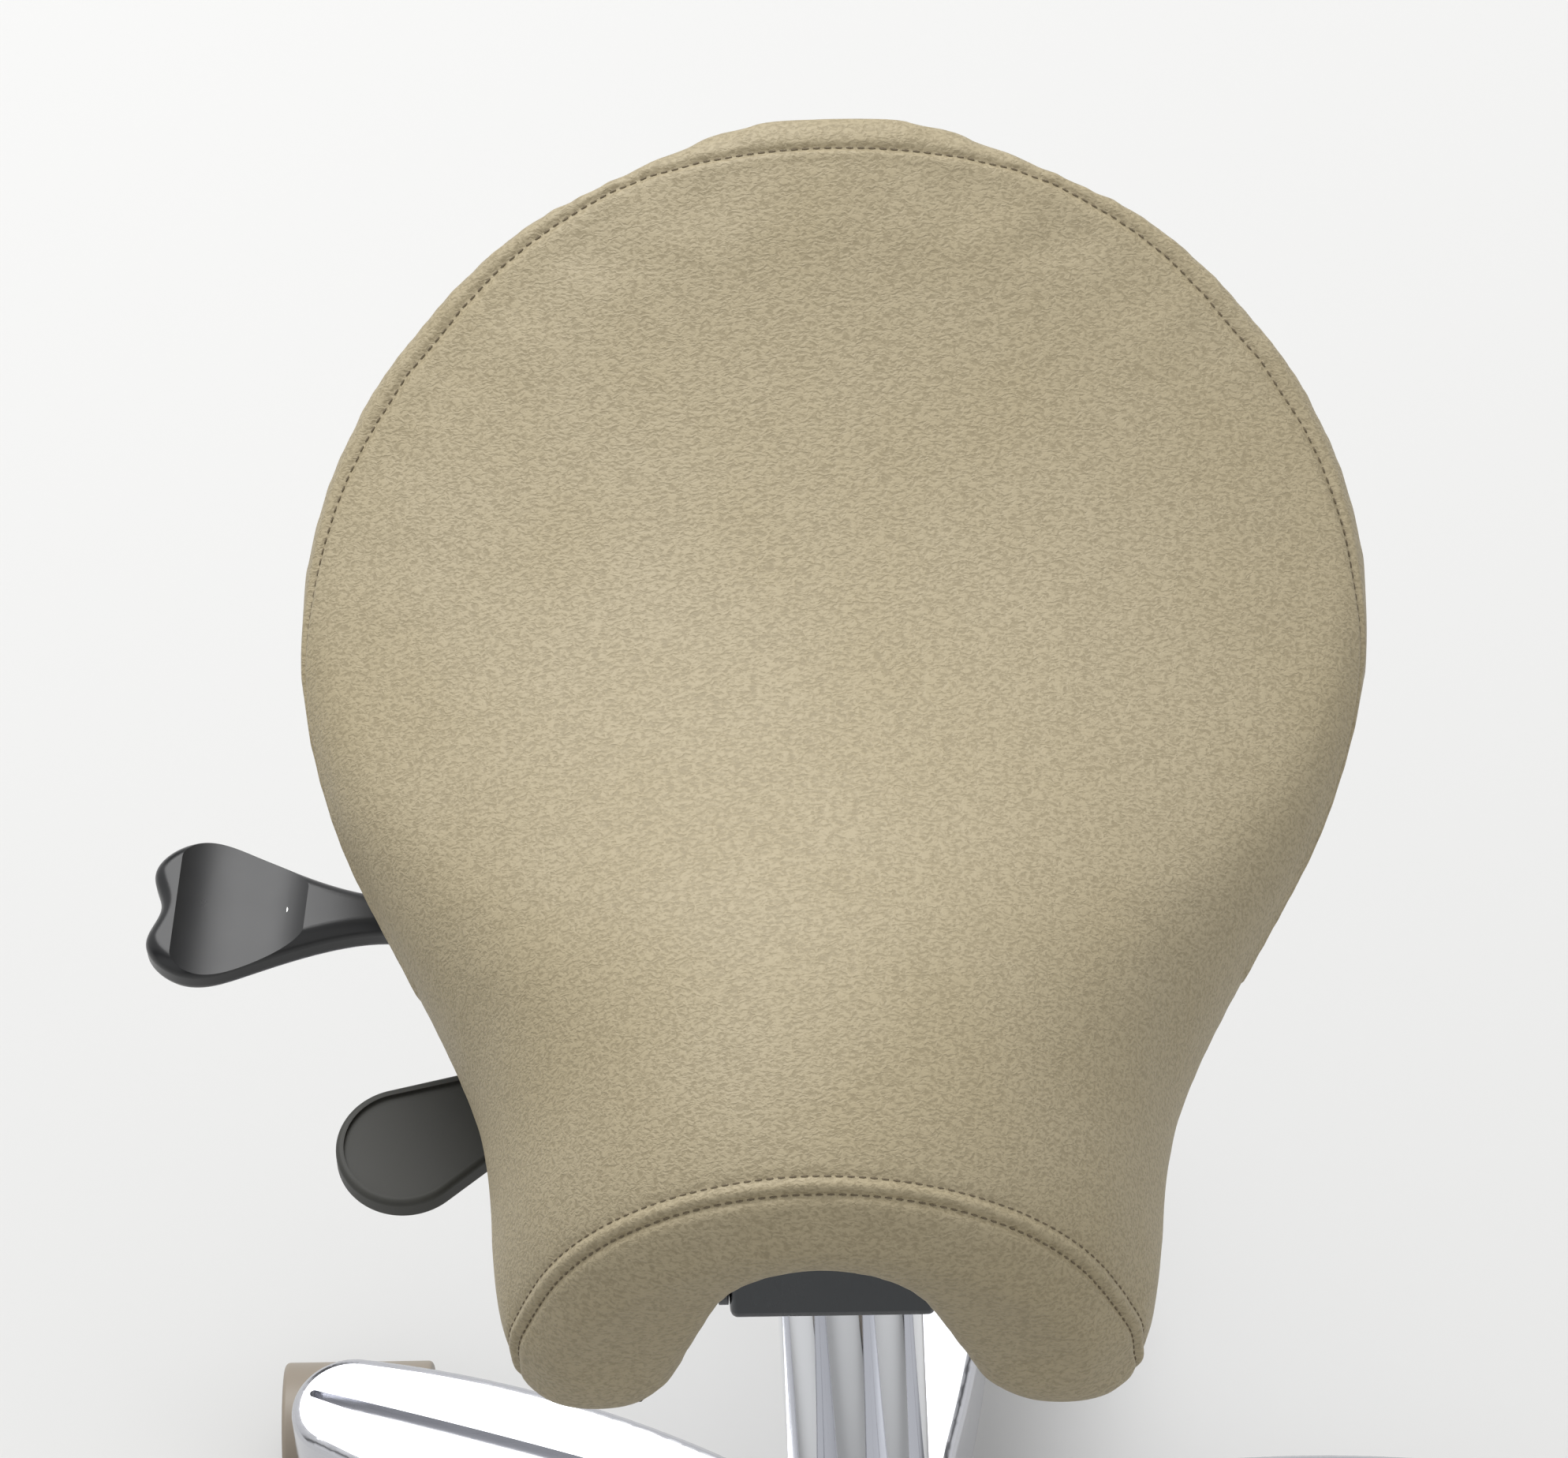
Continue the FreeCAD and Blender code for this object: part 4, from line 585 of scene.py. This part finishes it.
@dataclass
class Upholstery:
    """The padded saddle: one stuffed form with its sewn seams, and the thread in them."""

    voxel: float = 0.0042
    tip_heights: tuple[float, float] = (0.070, 0.048)
    tip_lengths: tuple[float, float] = (-0.105, -0.135)
    tip_passes: int = 36
    tip_push: float = 0.0022
    wrap_lengths: tuple[float, float] = (-0.085, -0.120)
    wrap_facing: tuple[float, float] = (0.35, 0.0)
    wrap_push: float = 0.0024
    pressure: float = 4.0
    swell_frames: int = 20
    swell_cap: float = 0.005
    swell_share: float = 0.25
    border: float = 0.014
    border_ease: float = 0.004
    tuck_facing: float = -0.35
    tuck_start: float = -0.105
    tuck_depth: float = 0.0035
    slice_length: float = 0.004
    seam_facing: float = -0.75
    seam_depth: float = 0.0011
    seam_half: float = 0.0009
    roll_height: float = 0.0005
    roll_half: float = 0.0045
    stitch_facing: float = -0.6
    stitch_pitch: float = 0.0036
    stitch_length: float = 0.0026
    stitch_radius: float = 0.00034
    stitch_sink: float = 0.55
    second_sink: float = 0.3
    shortest_chain: int = 8
    front: FrontSeam = field(default_factory=FrontSeam)
    rear: RearSeam = field(default_factory=RearSeam)
    outline: StuffedOutline = field(default_factory=StuffedOutline)

    def build(self) -> list[bpy.types.Object]:
        """Make the cushion and its stitching.

        Returns:
            The finished pieces.
        """
        cushion = self.solid_form()
        self.fill_out(cushion)
        self.swell(cushion)
        apply_modifier(cushion, "SUBSURF", levels=1, render_levels=1)
        self.tuck_underside(cushion)
        for seam in (self.front, self.rear):
            self.refine(cushion, seam)
        bare = cushion.copy()
        bare.data = cushion.data.copy()
        for seam in (self.front, self.rear):
            self.press(cushion, seam)
        stitching = self.stitching(bare)
        bpy.data.objects.remove(bare)
        make_active(cushion)
        bpy.ops.object.shade_smooth()
        dress(cushion, Finish.VINYL)
        dress(stitching, Finish.THREAD)
        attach(cushion, "seat")
        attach(stitching, "seat")
        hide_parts("seat_foam", "seat_top_panel", "seat_front_band", "seat_rear_band")
        return [cushion, stitching]

    def solid_form(self) -> bpy.types.Object:
        """Join copies of the seat's solids into one even, closed skin."""
        deselect_all()
        copies = []
        for name in ("seat_foam", "seat_top_panel", "seat_front_band", "seat_rear_band",
                     "seat_pan"):
            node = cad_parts[name]
            twin = node.copy()
            twin.data = node.data.copy()
            twin.parent = None
            for key in list(twin.keys()):
                del twin[key]
            bpy.context.scene.collection.objects.link(twin)
            twin.select_set(True)
            copies.append(twin)
        bpy.context.view_layer.objects.active = copies[0]
        bpy.ops.object.join()
        form = bpy.context.object
        form.name = form.data.name = "saddle_cushion"
        bpy.ops.object.mode_set(mode="EDIT")
        bpy.ops.mesh.select_all(action="SELECT")
        bpy.ops.mesh.remove_doubles(threshold=1e-5)
        bpy.ops.object.mode_set(mode="OBJECT")
        apply_modifier(form, "REMESH", mode="VOXEL", voxel_size=self.voxel)
        self.keep_outer_shell(form)
        apply_modifier(form, "SMOOTH", factor=0.5, iterations=8)
        return form

    def fill_out(self, form: bpy.types.Object) -> None:
        """Round the flaps' tips, wrap the cover round the pan's front and fill the outline.

        Args:
            form: The cushion's even skin.
        """
        points = coordinates(form.data)
        height = points[:, 2] - MECH_FLOOR
        tips = eased(height, *self.tip_heights) * eased(points[:, 1], *self.tip_lengths)
        group = form.vertex_groups.new(name="tips")
        for index in np.flatnonzero(tips > 0.01):
            group.add([int(index)], float(tips[index]), "REPLACE")
        apply_modifier(form, "SMOOTH", factor=0.5, iterations=self.tip_passes,
                       vertex_group=group.name)
        form.vertex_groups.clear()
        points = coordinates(form.data)
        facing = normals(form.data)
        wrapped = eased(points[:, 1], *self.wrap_lengths) * eased(facing[:, 2], *self.wrap_facing)
        rounded = tips * self.tip_push + wrapped * self.wrap_push
        points = points + facing * rounded[:, None]
        set_coordinates(form.data, self.outline.moved(points, self.pan_edge(points[:, 1])))

    @staticmethod
    def pan_edge(lengths: np.ndarray) -> np.ndarray:
        """Read how high the pan's outer edge lies along the seat.

        Args:
            lengths: Places along the seat, on the y axis.

        Returns:
            The edge's height at each place.
        """
        pan = coordinates(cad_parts["seat_pan"].data)
        front, back, step, reach, rim = -0.172, 0.204, 0.004, 0.012, 0.003
        stations = np.arange(front, back, step)
        heights = []
        for station in stations:
            close = pan[np.abs(pan[:, 1] - station) < reach]
            outer = close[np.abs(close[:, 0]) > np.abs(close[:, 0]).max() - rim]
            heights.append(outer[:, 2].mean() if len(outer) else np.nan)
        known = ~np.isnan(heights)
        return np.interp(lengths, stations[known], np.array(heights)[known])

    @staticmethod
    def keep_outer_shell(form: bpy.types.Object) -> None:
        """Drop the small closed pockets that the remesh leaves inside.

        Args:
            form: The remeshed cushion.
        """
        mesh = bmesh.new()
        mesh.from_mesh(form.data)
        unseen = set(mesh.verts)
        shells = []
        while unseen:
            queue = [unseen.pop()]
            shell = set(queue)
            while queue:
                for edge in queue.pop().link_edges:
                    for vert in edge.verts:
                        if vert in unseen:
                            unseen.discard(vert)
                            shell.add(vert)
                            queue.append(vert)
            shells.append(shell)
        shells.sort(key=len)
        for shell in shells[:-1]:
            bmesh.ops.delete(mesh, geom=list(shell), context="VERTS")
        mesh.to_mesh(form.data)
        mesh.free()

    def swell(self, cushion: bpy.types.Object) -> None:
        """Blow the skin out a little, as stretched cover over foam.

        Args:
            cushion: The cushion's closed skin.
        """
        rest = coordinates(cushion.data)
        facing = normals(cushion.data)
        make_active(cushion)
        bpy.ops.object.modifier_add(type="CLOTH")
        cloth = cushion.modifiers[-1]
        cloth.settings.use_pressure = True
        cloth.settings.uniform_pressure_force = self.pressure
        cloth.settings.effector_weights.gravity = 0.0
        scene = bpy.context.scene
        for step in range(1, self.swell_frames + 1):
            scene.frame_set(step)
        shown = cushion.evaluated_get(bpy.context.evaluated_depsgraph_get())
        blown = coordinates(shown.data)
        cushion.modifiers.remove(cloth)
        scene.frame_set(1)
        move = blown - rest
        length = np.linalg.norm(move, axis=1, keepdims=True)
        move *= np.minimum(1.0, self.swell_cap / np.maximum(length, 1e-9))
        upper = np.clip((facing[:, 2:3] + 0.5) / 0.5, 0.0, 1.0)
        set_coordinates(cushion.data, rest + move * upper * self.swell_share)

    def tuck_underside(self, cushion: bpy.types.Object) -> None:
        """Pull the skin up inside the pan, but for the border that is stapled under it.

        Args:
            cushion: The cushion's skin.
        """
        mesh = cushion.data
        points = coordinates(mesh)
        facing = normals(mesh)
        under = (facing[:, 2] < self.tuck_facing) & (points[:, 1] > self.tuck_start)
        half = np.zeros(len(points))
        slices = np.round(points[:, 1] / self.slice_length).astype(int)
        for value in np.unique(slices):
            chosen = slices == value
            low = chosen & (facing[:, 2] < -0.1)
            half[chosen] = np.abs(points[low, 0]).max() if low.any() else 0.0
        beyond = half - self.border - np.abs(points[:, 0])
        inside = np.clip(beyond / self.border_ease, 0.0, 1.0)
        lift = np.where(under, inside, 0.0) * self.tuck_depth
        set_coordinates(mesh, points - facing * lift[:, None])

    @staticmethod
    def refine(cushion: bpy.types.Object, seam: FrontSeam | RearSeam,
               reach: float = 0.0055) -> None:
        """Divide the faces along a seam, so that it can be narrow.

        Args:
            cushion: The cushion's skin.
            seam: The seam to follow.
            reach: How far from the seam the faces are divided.
        """
        mesh = bmesh.new()
        mesh.from_mesh(cushion.data)
        mesh.edges.ensure_lookup_table()
        middles = np.array([(edge.verts[0].co + edge.verts[1].co) / 2 for edge in mesh.edges])
        close = (np.abs(seam.away(middles)) < reach) & seam.near(middles)
        chosen = [edge for edge, wanted in zip(mesh.edges, close) if wanted]
        bmesh.ops.subdivide_edges(mesh, edges=chosen, cuts=2, use_grid_fill=True)
        mesh.to_mesh(cushion.data)
        mesh.free()

    def press(self, cushion: bpy.types.Object, seam: FrontSeam | RearSeam) -> None:
        """Sink a seam between two soft rolls.

        Args:
            cushion: The cushion's skin.
            seam: The seam to follow.
        """
        mesh = cushion.data
        points = coordinates(mesh)
        facing = normals(mesh)
        away = seam.away(points)
        reach = seam.near(points) & (facing[:, 2] > self.seam_facing)
        groove = -self.seam_depth * np.exp(-(away / self.seam_half) ** 2)
        half = self.roll_half / 2
        roll = self.roll_height * np.exp(-((np.abs(away) - half) / half) ** 2)
        if seam is self.front:
            row = (away - self.front.second_row) / self.seam_half
            ridge = (away - self.front.ridge) / self.front.ridge_half
            groove -= self.seam_depth * self.front.second_share * np.exp(-row ** 2)
            roll += self.roll_height * np.exp(-ridge ** 2)
        move = np.where(reach, groove + roll, 0.0)
        set_coordinates(mesh, points + facing * move[:, None])

    def stitching(self, cushion: bpy.types.Object) -> bpy.types.Object:
        """Lay short stitches along both seams and along the row beside the front one.

        Args:
            cushion: The cushion's skin before its seams are sunk.

        Returns:
            One object with all the stitches.
        """
        rows = [
            (self.rear, 0.0, -self.seam_depth * self.stitch_sink),
            (self.front, 0.0, -self.seam_depth * self.stitch_sink),
            (self.front, self.front.second_row, -self.seam_depth * self.second_sink),
        ]
        bpy.ops.mesh.primitive_uv_sphere_add(segments=6, ring_count=4, radius=self.stitch_radius)
        stitch = bpy.context.object
        bpy.ops.object.mode_set(mode="EDIT")
        bpy.ops.mesh.select_all(action="SELECT")
        bpy.ops.transform.resize(value=(self.stitch_length / 2 / self.stitch_radius, 1.0, 0.8))
        bpy.ops.object.mode_set(mode="OBJECT")
        template = coordinates(stitch.data)
        faces = [list(face.vertices) for face in stitch.data.polygons]
        bpy.data.objects.remove(stitch)
        points: list[np.ndarray] = []
        polygons: list[list[int]] = []
        for seam, offset, depth in rows:
            for place, along, out in self.stitch_places(cushion, seam, offset):
                side = out.cross(along).normalized()
                turn = np.array([along, side, out])
                start = len(points) * len(template)
                points.append(template @ turn + np.array(place + out * depth))
                polygons += [[index + start for index in face] for face in faces]
        mesh = bpy.data.meshes.new("seam_stitching")
        mesh.from_pydata(np.concatenate(points).tolist(), [], polygons)
        piece = bpy.data.objects.new("seam_stitching", mesh)
        bpy.context.scene.collection.objects.link(piece)
        make_active(piece)
        bpy.ops.object.shade_smooth()
        return piece

    def stitch_places(self, cushion: bpy.types.Object, seam: FrontSeam | RearSeam,
                      offset: float) -> list[tuple[Vector, Vector, Vector]]:
        """Walk along a line of the skin and give a place for each stitch.

        Args:
            cushion: The cushion's skin.
            seam: The seam whose line is walked.
            offset: How far from the seam the line runs, on the top panel's side.

        Returns:
            Each stitch's middle, its direction and the way out of the skin.
        """
        mesh = bmesh.new()
        mesh.from_mesh(cushion.data)
        mesh.verts.ensure_lookup_table()
        mesh.edges.ensure_lookup_table()
        values = seam.away(np.array([vert.co for vert in mesh.verts])) - offset
        reach = seam.near(np.array([vert.co for vert in mesh.verts]))
        crossings: dict[int, tuple[Vector, Vector]] = {}
        for edge in mesh.edges:
            a, b = edge.verts
            va, vb = values[a.index], values[b.index]
            if (va > 0) != (vb > 0) and reach[a.index]:
                share = va / (va - vb)
                out = a.normal.lerp(b.normal, share).normalized()
                if out.z > self.stitch_facing:
                    crossings[edge.index] = (a.co.lerp(b.co, share), out)
        neighbours: dict[int, set[int]] = {index: set() for index in crossings}
        for face in mesh.faces:
            cut = [edge.index for edge in face.edges if edge.index in crossings]
            for first, second in zip(cut, cut[1:]):
                neighbours[first].add(second)
                neighbours[second].add(first)
        mesh.free()
        places: list[tuple[Vector, Vector, Vector]] = []
        unseen = set(crossings)
        while unseen:
            ends = [index for index in unseen if len(neighbours[index]) == 1]
            chain = [min(ends) if ends else min(unseen)]
            unseen.discard(chain[0])
            while True:
                onward = sorted(neighbours[chain[-1]] & unseen)
                if not onward:
                    break
                chain.append(onward[0])
                unseen.discard(onward[0])
            places += self.spaced([crossings[index] for index in chain])
        return places

    def spaced(self, chain: Sequence[tuple[Vector, Vector]]) -> list[tuple[Vector, Vector, Vector]]:
        """Space stitches evenly along a chain of points on the skin.

        Args:
            chain: Points on the skin in order, each with the way out of it.

        Returns:
            Each stitch's middle, its direction and the way out of the skin.
        """
        if len(chain) < self.shortest_chain:
            return []
        lengths = [0.0]
        for (a, _), (b, _) in zip(chain, chain[1:]):
            lengths.append(lengths[-1] + (b - a).length)
        stations = np.arange(self.stitch_pitch / 2, lengths[-1], self.stitch_pitch)
        track = np.array([point for point, _ in chain])
        outward = np.array([out for _, out in chain])
        found = []
        for station in stations:
            ahead = min(station + self.stitch_pitch / 2, lengths[-1])
            behind = max(station - self.stitch_pitch / 2, 0.0)
            reads = ((station, track), (ahead, track), (behind, track), (station, outward))
            middle, front, back, out = (
                Vector([float(np.interp(at, lengths, rows[:, axis])) for axis in range(3)])
                for at, rows in reads)
            along = front - back
            if along.length < 1e-6:
                continue
            along.normalize()
            out = (out - along * out.dot(along)).normalized()
            found.append((middle, along, out))
        return found


@dataclass(frozen=True)
class Metalwork:
    """The carried-over solids, each with the finish of its real counterpart."""

    finishes: tuple[tuple[str, Finish], ...] = (
        ("star_base", Finish.POLISHED_ALUMINIUM), ("caster_sleeves", Finish.ZINC),
        ("column_outer_tube", Finish.CHROME), ("column_guide_bush", Finish.PAN_PLASTIC),
        ("lower_bearing_race", Finish.GROUND_STEEL), ("thrust_bearing", Finish.GROUND_STEEL),
        ("upper_bearing_race", Finish.GROUND_STEEL), ("piston_rod", Finish.GROUND_STEEL),
        ("rod_clip", Finish.ZINC), ("piston", Finish.BUSH_PLASTIC),
        ("gas_cylinder", Finish.CHROME), ("cylinder_end_guide", Finish.ZINC),
        ("release_pin", Finish.GROUND_STEEL), ("mechanism_housing", Finish.GUNMETAL),
        ("taper_socket", Finish.GUNMETAL), ("tilt_shaft", Finish.ZINC),
        ("tilt_bushes", Finish.BUSH_PLASTIC), ("shaft_clips", Finish.ZINC),
        ("seat_bracket", Finish.GUNMETAL), ("seat_screws", Finish.ZINC),
        ("tee_nuts", Finish.ZINC), ("lock_spindle", Finish.ZINC),
        ("clamp_washers", Finish.ZINC), ("disc_springs", Finish.ZINC),
        ("lock_nut", Finish.ZINC), ("height_lever_rod", Finish.ZINC),
        ("height_lever_pin", Finish.ZINC), ("height_lever_handle", Finish.LEVER_PLASTIC),
        ("lock_lever_arm", Finish.ZINC), ("lock_lever_pin", Finish.ZINC),
        ("lock_lever_handle", Finish.LOCK_PLASTIC), ("seat_pan", Finish.PAN_PLASTIC),
        ("seat_foam", Finish.FOAM), ("seat_top_panel", Finish.VINYL),
        ("seat_front_band", Finish.VINYL), ("seat_rear_band", Finish.VINYL),
    )
    caster_finishes: tuple[tuple[str, Finish], ...] = (
        ("hood", Finish.HOOD_PLASTIC), ("stem_and_axle", Finish.ZINC),
        ("left_wheel", Finish.WHEEL_PLASTIC), ("right_wheel", Finish.WHEEL_PLASTIC),
    )
    caster_count: int = 5

    def dress_all(self) -> int:
        """Give every solid its finish.

        Returns:
            How many solids were dressed.
        """
        wanted = dict(self.finishes)
        for number in range(1, self.caster_count + 1):
            for piece, finish in self.caster_finishes:
                wanted[f"caster_{number}_{piece}"] = finish
        for name, finish in wanted.items():
            dress(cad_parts[name], finish)
            self.smooth(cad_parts[name])
        return len(wanted)

    @staticmethod
    def smooth(node: bpy.types.Object, degrees: float = 32.0) -> None:
        """Shade round faces smooth and keep the edges crisp, without moving a point.

        Args:
            node: The solid.
            degrees: The angle from which an edge stays crisp.
        """
        make_active(node)
        bpy.ops.object.shade_smooth_by_angle(angle=math.radians(degrees))


@dataclass(frozen=True)
class Studio:
    """Pale floor, soft lamps, an even surround and the camera of the photograph."""

    floor_size: float = 14.0
    floor_colour: str = "EDEDEC"
    floor_shade: str = "E9E9E8"
    floor_bounce: str = "989692"
    floor_cloud_scale: float = 1.1
    surround: float = 0.54
    level_and_overhead: tuple[float, float] = (0.7, 1.3)
    backdrop: float = 0.86
    room: tuple[tuple[float, float], ...] = (
        (0.010, 0.90), (0.035, 0.05), (0.060, 0.05), (0.090, 0.85), (0.205, 0.95), (0.222, 0.08),
        (0.240, 0.08), (0.262, 0.80), (0.400, 0.95), (0.415, 0.04), (0.435, 0.04), (0.460, 0.90),
        (0.590, 0.70), (0.612, 0.06), (0.640, 0.06), (0.660, 0.90), (0.790, 0.95), (0.805, 0.10),
        (0.830, 0.10), (0.850, 0.90), (0.960, 0.95))
    key_place: tuple[float, float, float] = (-0.9, 2.1, 3.2)
    key_size: float = 2.4
    key_power: float = 84.0
    fill_place: tuple[float, float, float] = (2.6, -1.6, 2.2)
    fill_size: float = 2.0
    fill_power: float = 8.0
    lamp_target: tuple[float, float, float] = (0.0, 0.0, 0.5)
    sensor_mm: float = 36.0
    image_width: int = 1988
    focal_px: float = 13492.0
    distance: float = 3.5
    pitch: float = 57.0
    azimuth: float = 2.9
    roll: float = -3.42
    target: tuple[float, float, float] = (-0.01472, 0.07711, 0.560)

    def build(self) -> None:
        """Set up the floor, the lamps, the surround and the camera."""
        self.floor()
        self.lamp("key_lamp", self.key_place, self.key_size, self.key_power)
        self.lamp("fill_lamp", self.fill_place, self.fill_size, self.fill_power)
        self.world()
        self.camera()
        bpy.context.scene.view_settings.view_transform = "Standard"

    def floor(self) -> None:
        """Lay the pale floor."""
        deselect_all()
        bpy.ops.mesh.primitive_plane_add(size=self.floor_size, location=(0, 0, 0))
        floor = bpy.context.object
        floor.name = "studio_floor"
        material, tree = blank_material("studio_paper")
        cloud = noise(tree, object_place(tree), self.floor_cloud_scale, 1.0)
        colour = blend(tree, cloud, linear(self.floor_colour), linear(self.floor_shade))
        # The paper throws less light up at the stool than it shows to the eye.
        ray = add_node(tree, "ShaderNodeLightPath").outputs
        straight = compute(tree, "MAXIMUM", ray["Is Camera Ray"], ray["Is Glossy Ray"])
        passed = compute(tree, "MAXIMUM", straight, ray["Is Transmission Ray"])
        shown = blend(tree, passed, linear(self.floor_bounce), colour)
        close_material(tree, {"Base Color": shown, "Roughness": 0.9})
        floor.data.materials.append(material)

    def lamp(self, name: str, place: tuple[float, float, float], size: float, power: float) -> None:
        """Hang a large soft lamp that faces the stool.

        Args:
            name: The lamp's name.
            place: Where it hangs.
            size: The side of its square face.
            power: Its power in watts.
        """
        data = bpy.data.lights.new(name, "AREA")
        data.shape = "SQUARE"
        data.size = size
        data.energy = power
        lamp = bpy.data.objects.new(name, data)
        bpy.context.scene.collection.objects.link(lamp)
        towards = Vector(self.lamp_target) - Vector(place)
        facing = towards.to_track_quat("-Z", "Y").to_matrix().to_4x4()
        lamp.matrix_world = Matrix.Translation(place) @ facing

    def world(self) -> None:
        """Light everything evenly, with dark gaps round the room that only bright metal shows."""
        world = bpy.data.worlds.new("studio_surround")
        bpy.context.scene.world = world
        world.use_nodes = True
        tree = world.node_tree
        tree.nodes.clear()
        ray = add_node(tree, "ShaderNodeLightPath").outputs
        way = add_node(tree, "ShaderNodeSeparateXYZ", {
            "Vector": add_node(tree, "ShaderNodeTexCoord").outputs["Generated"]}).outputs
        bearing = compute(tree, "ARCTAN2", way["X"], way["Y"])
        turn = remap(tree, bearing, (-math.pi, math.pi), (0.0, 1.0))
        room = add_node(tree, "ShaderNodeValToRGB", {"Fac": turn})
        ramp = room.color_ramp
        for place, level in self.room:
            stop = ramp.elements.new(place)
            stop.color = (level, level, level, 1.0)
        ramp.elements.remove(ramp.elements[0])
        ramp.elements.remove(ramp.elements[-1])
        mirrored = compute(tree, "MULTIPLY", room.outputs["Color"], ray["Is Glossy Ray"])
        shown = compute(tree, "MULTIPLY_ADD", ray["Is Camera Ray"], self.backdrop, mirrored)
        seen = compute(tree, "MAXIMUM", ray["Is Camera Ray"], ray["Is Glossy Ray"])
        plain = compute(tree, "SUBTRACT", 1.0, seen)
        low, high = (share * self.surround for share in self.level_and_overhead)
        sky = remap(tree, way["Z"], (0.0, 1.0), (low, high))
        strength = compute(tree, "MULTIPLY_ADD", plain, sky, shown)
        light = add_node(tree, "ShaderNodeBackground", {
            "Color": linear("FFFFFF"), "Strength": strength}).outputs[0]
        add_node(tree, "ShaderNodeOutputWorld", {"Surface": light})

    def camera(self) -> None:
        """Stand the camera where the photograph was taken."""
        pitch, azimuth, roll = (
            math.radians(value) for value in (self.pitch, self.azimuth, self.roll))
        back = Vector((
            math.sin(azimuth) * math.cos(pitch), -math.cos(azimuth) * math.cos(pitch),
            math.sin(pitch)))
        right = Vector((math.cos(azimuth), math.sin(azimuth), 0.0))
        up = back.cross(right)
        level_right = right * math.cos(roll) + up * math.sin(roll)
        level_up = up * math.cos(roll) - right * math.sin(roll)
        place = Vector(self.target) + back * self.distance
        data = bpy.data.cameras.new("photo_camera")
        data.sensor_fit = "HORIZONTAL"
        data.sensor_width = self.sensor_mm
        data.lens = self.sensor_mm * self.focal_px / self.image_width
        camera = bpy.data.objects.new("photo_camera", data)
        bpy.context.scene.collection.objects.link(camera)
        turn = Matrix((level_right, level_up, back)).transposed().to_4x4()
        camera.matrix_world = Matrix.Translation(place) @ turn
        bpy.context.scene.camera = camera


def main() -> None:
    """Build every piece in order and report it."""
    logging.basicConfig(level=logging.INFO, format="%(name)s: %(message)s")
    Studio().build()
    LOG.info("studio and camera ready")
    LOG.info("dressed %d solids", Metalwork().dress_all())
    for piece in Upholstery().build():
        LOG.info("%s: %d faces", piece.name, len(piece.data.polygons))


if __name__ == "__main__":
    main()
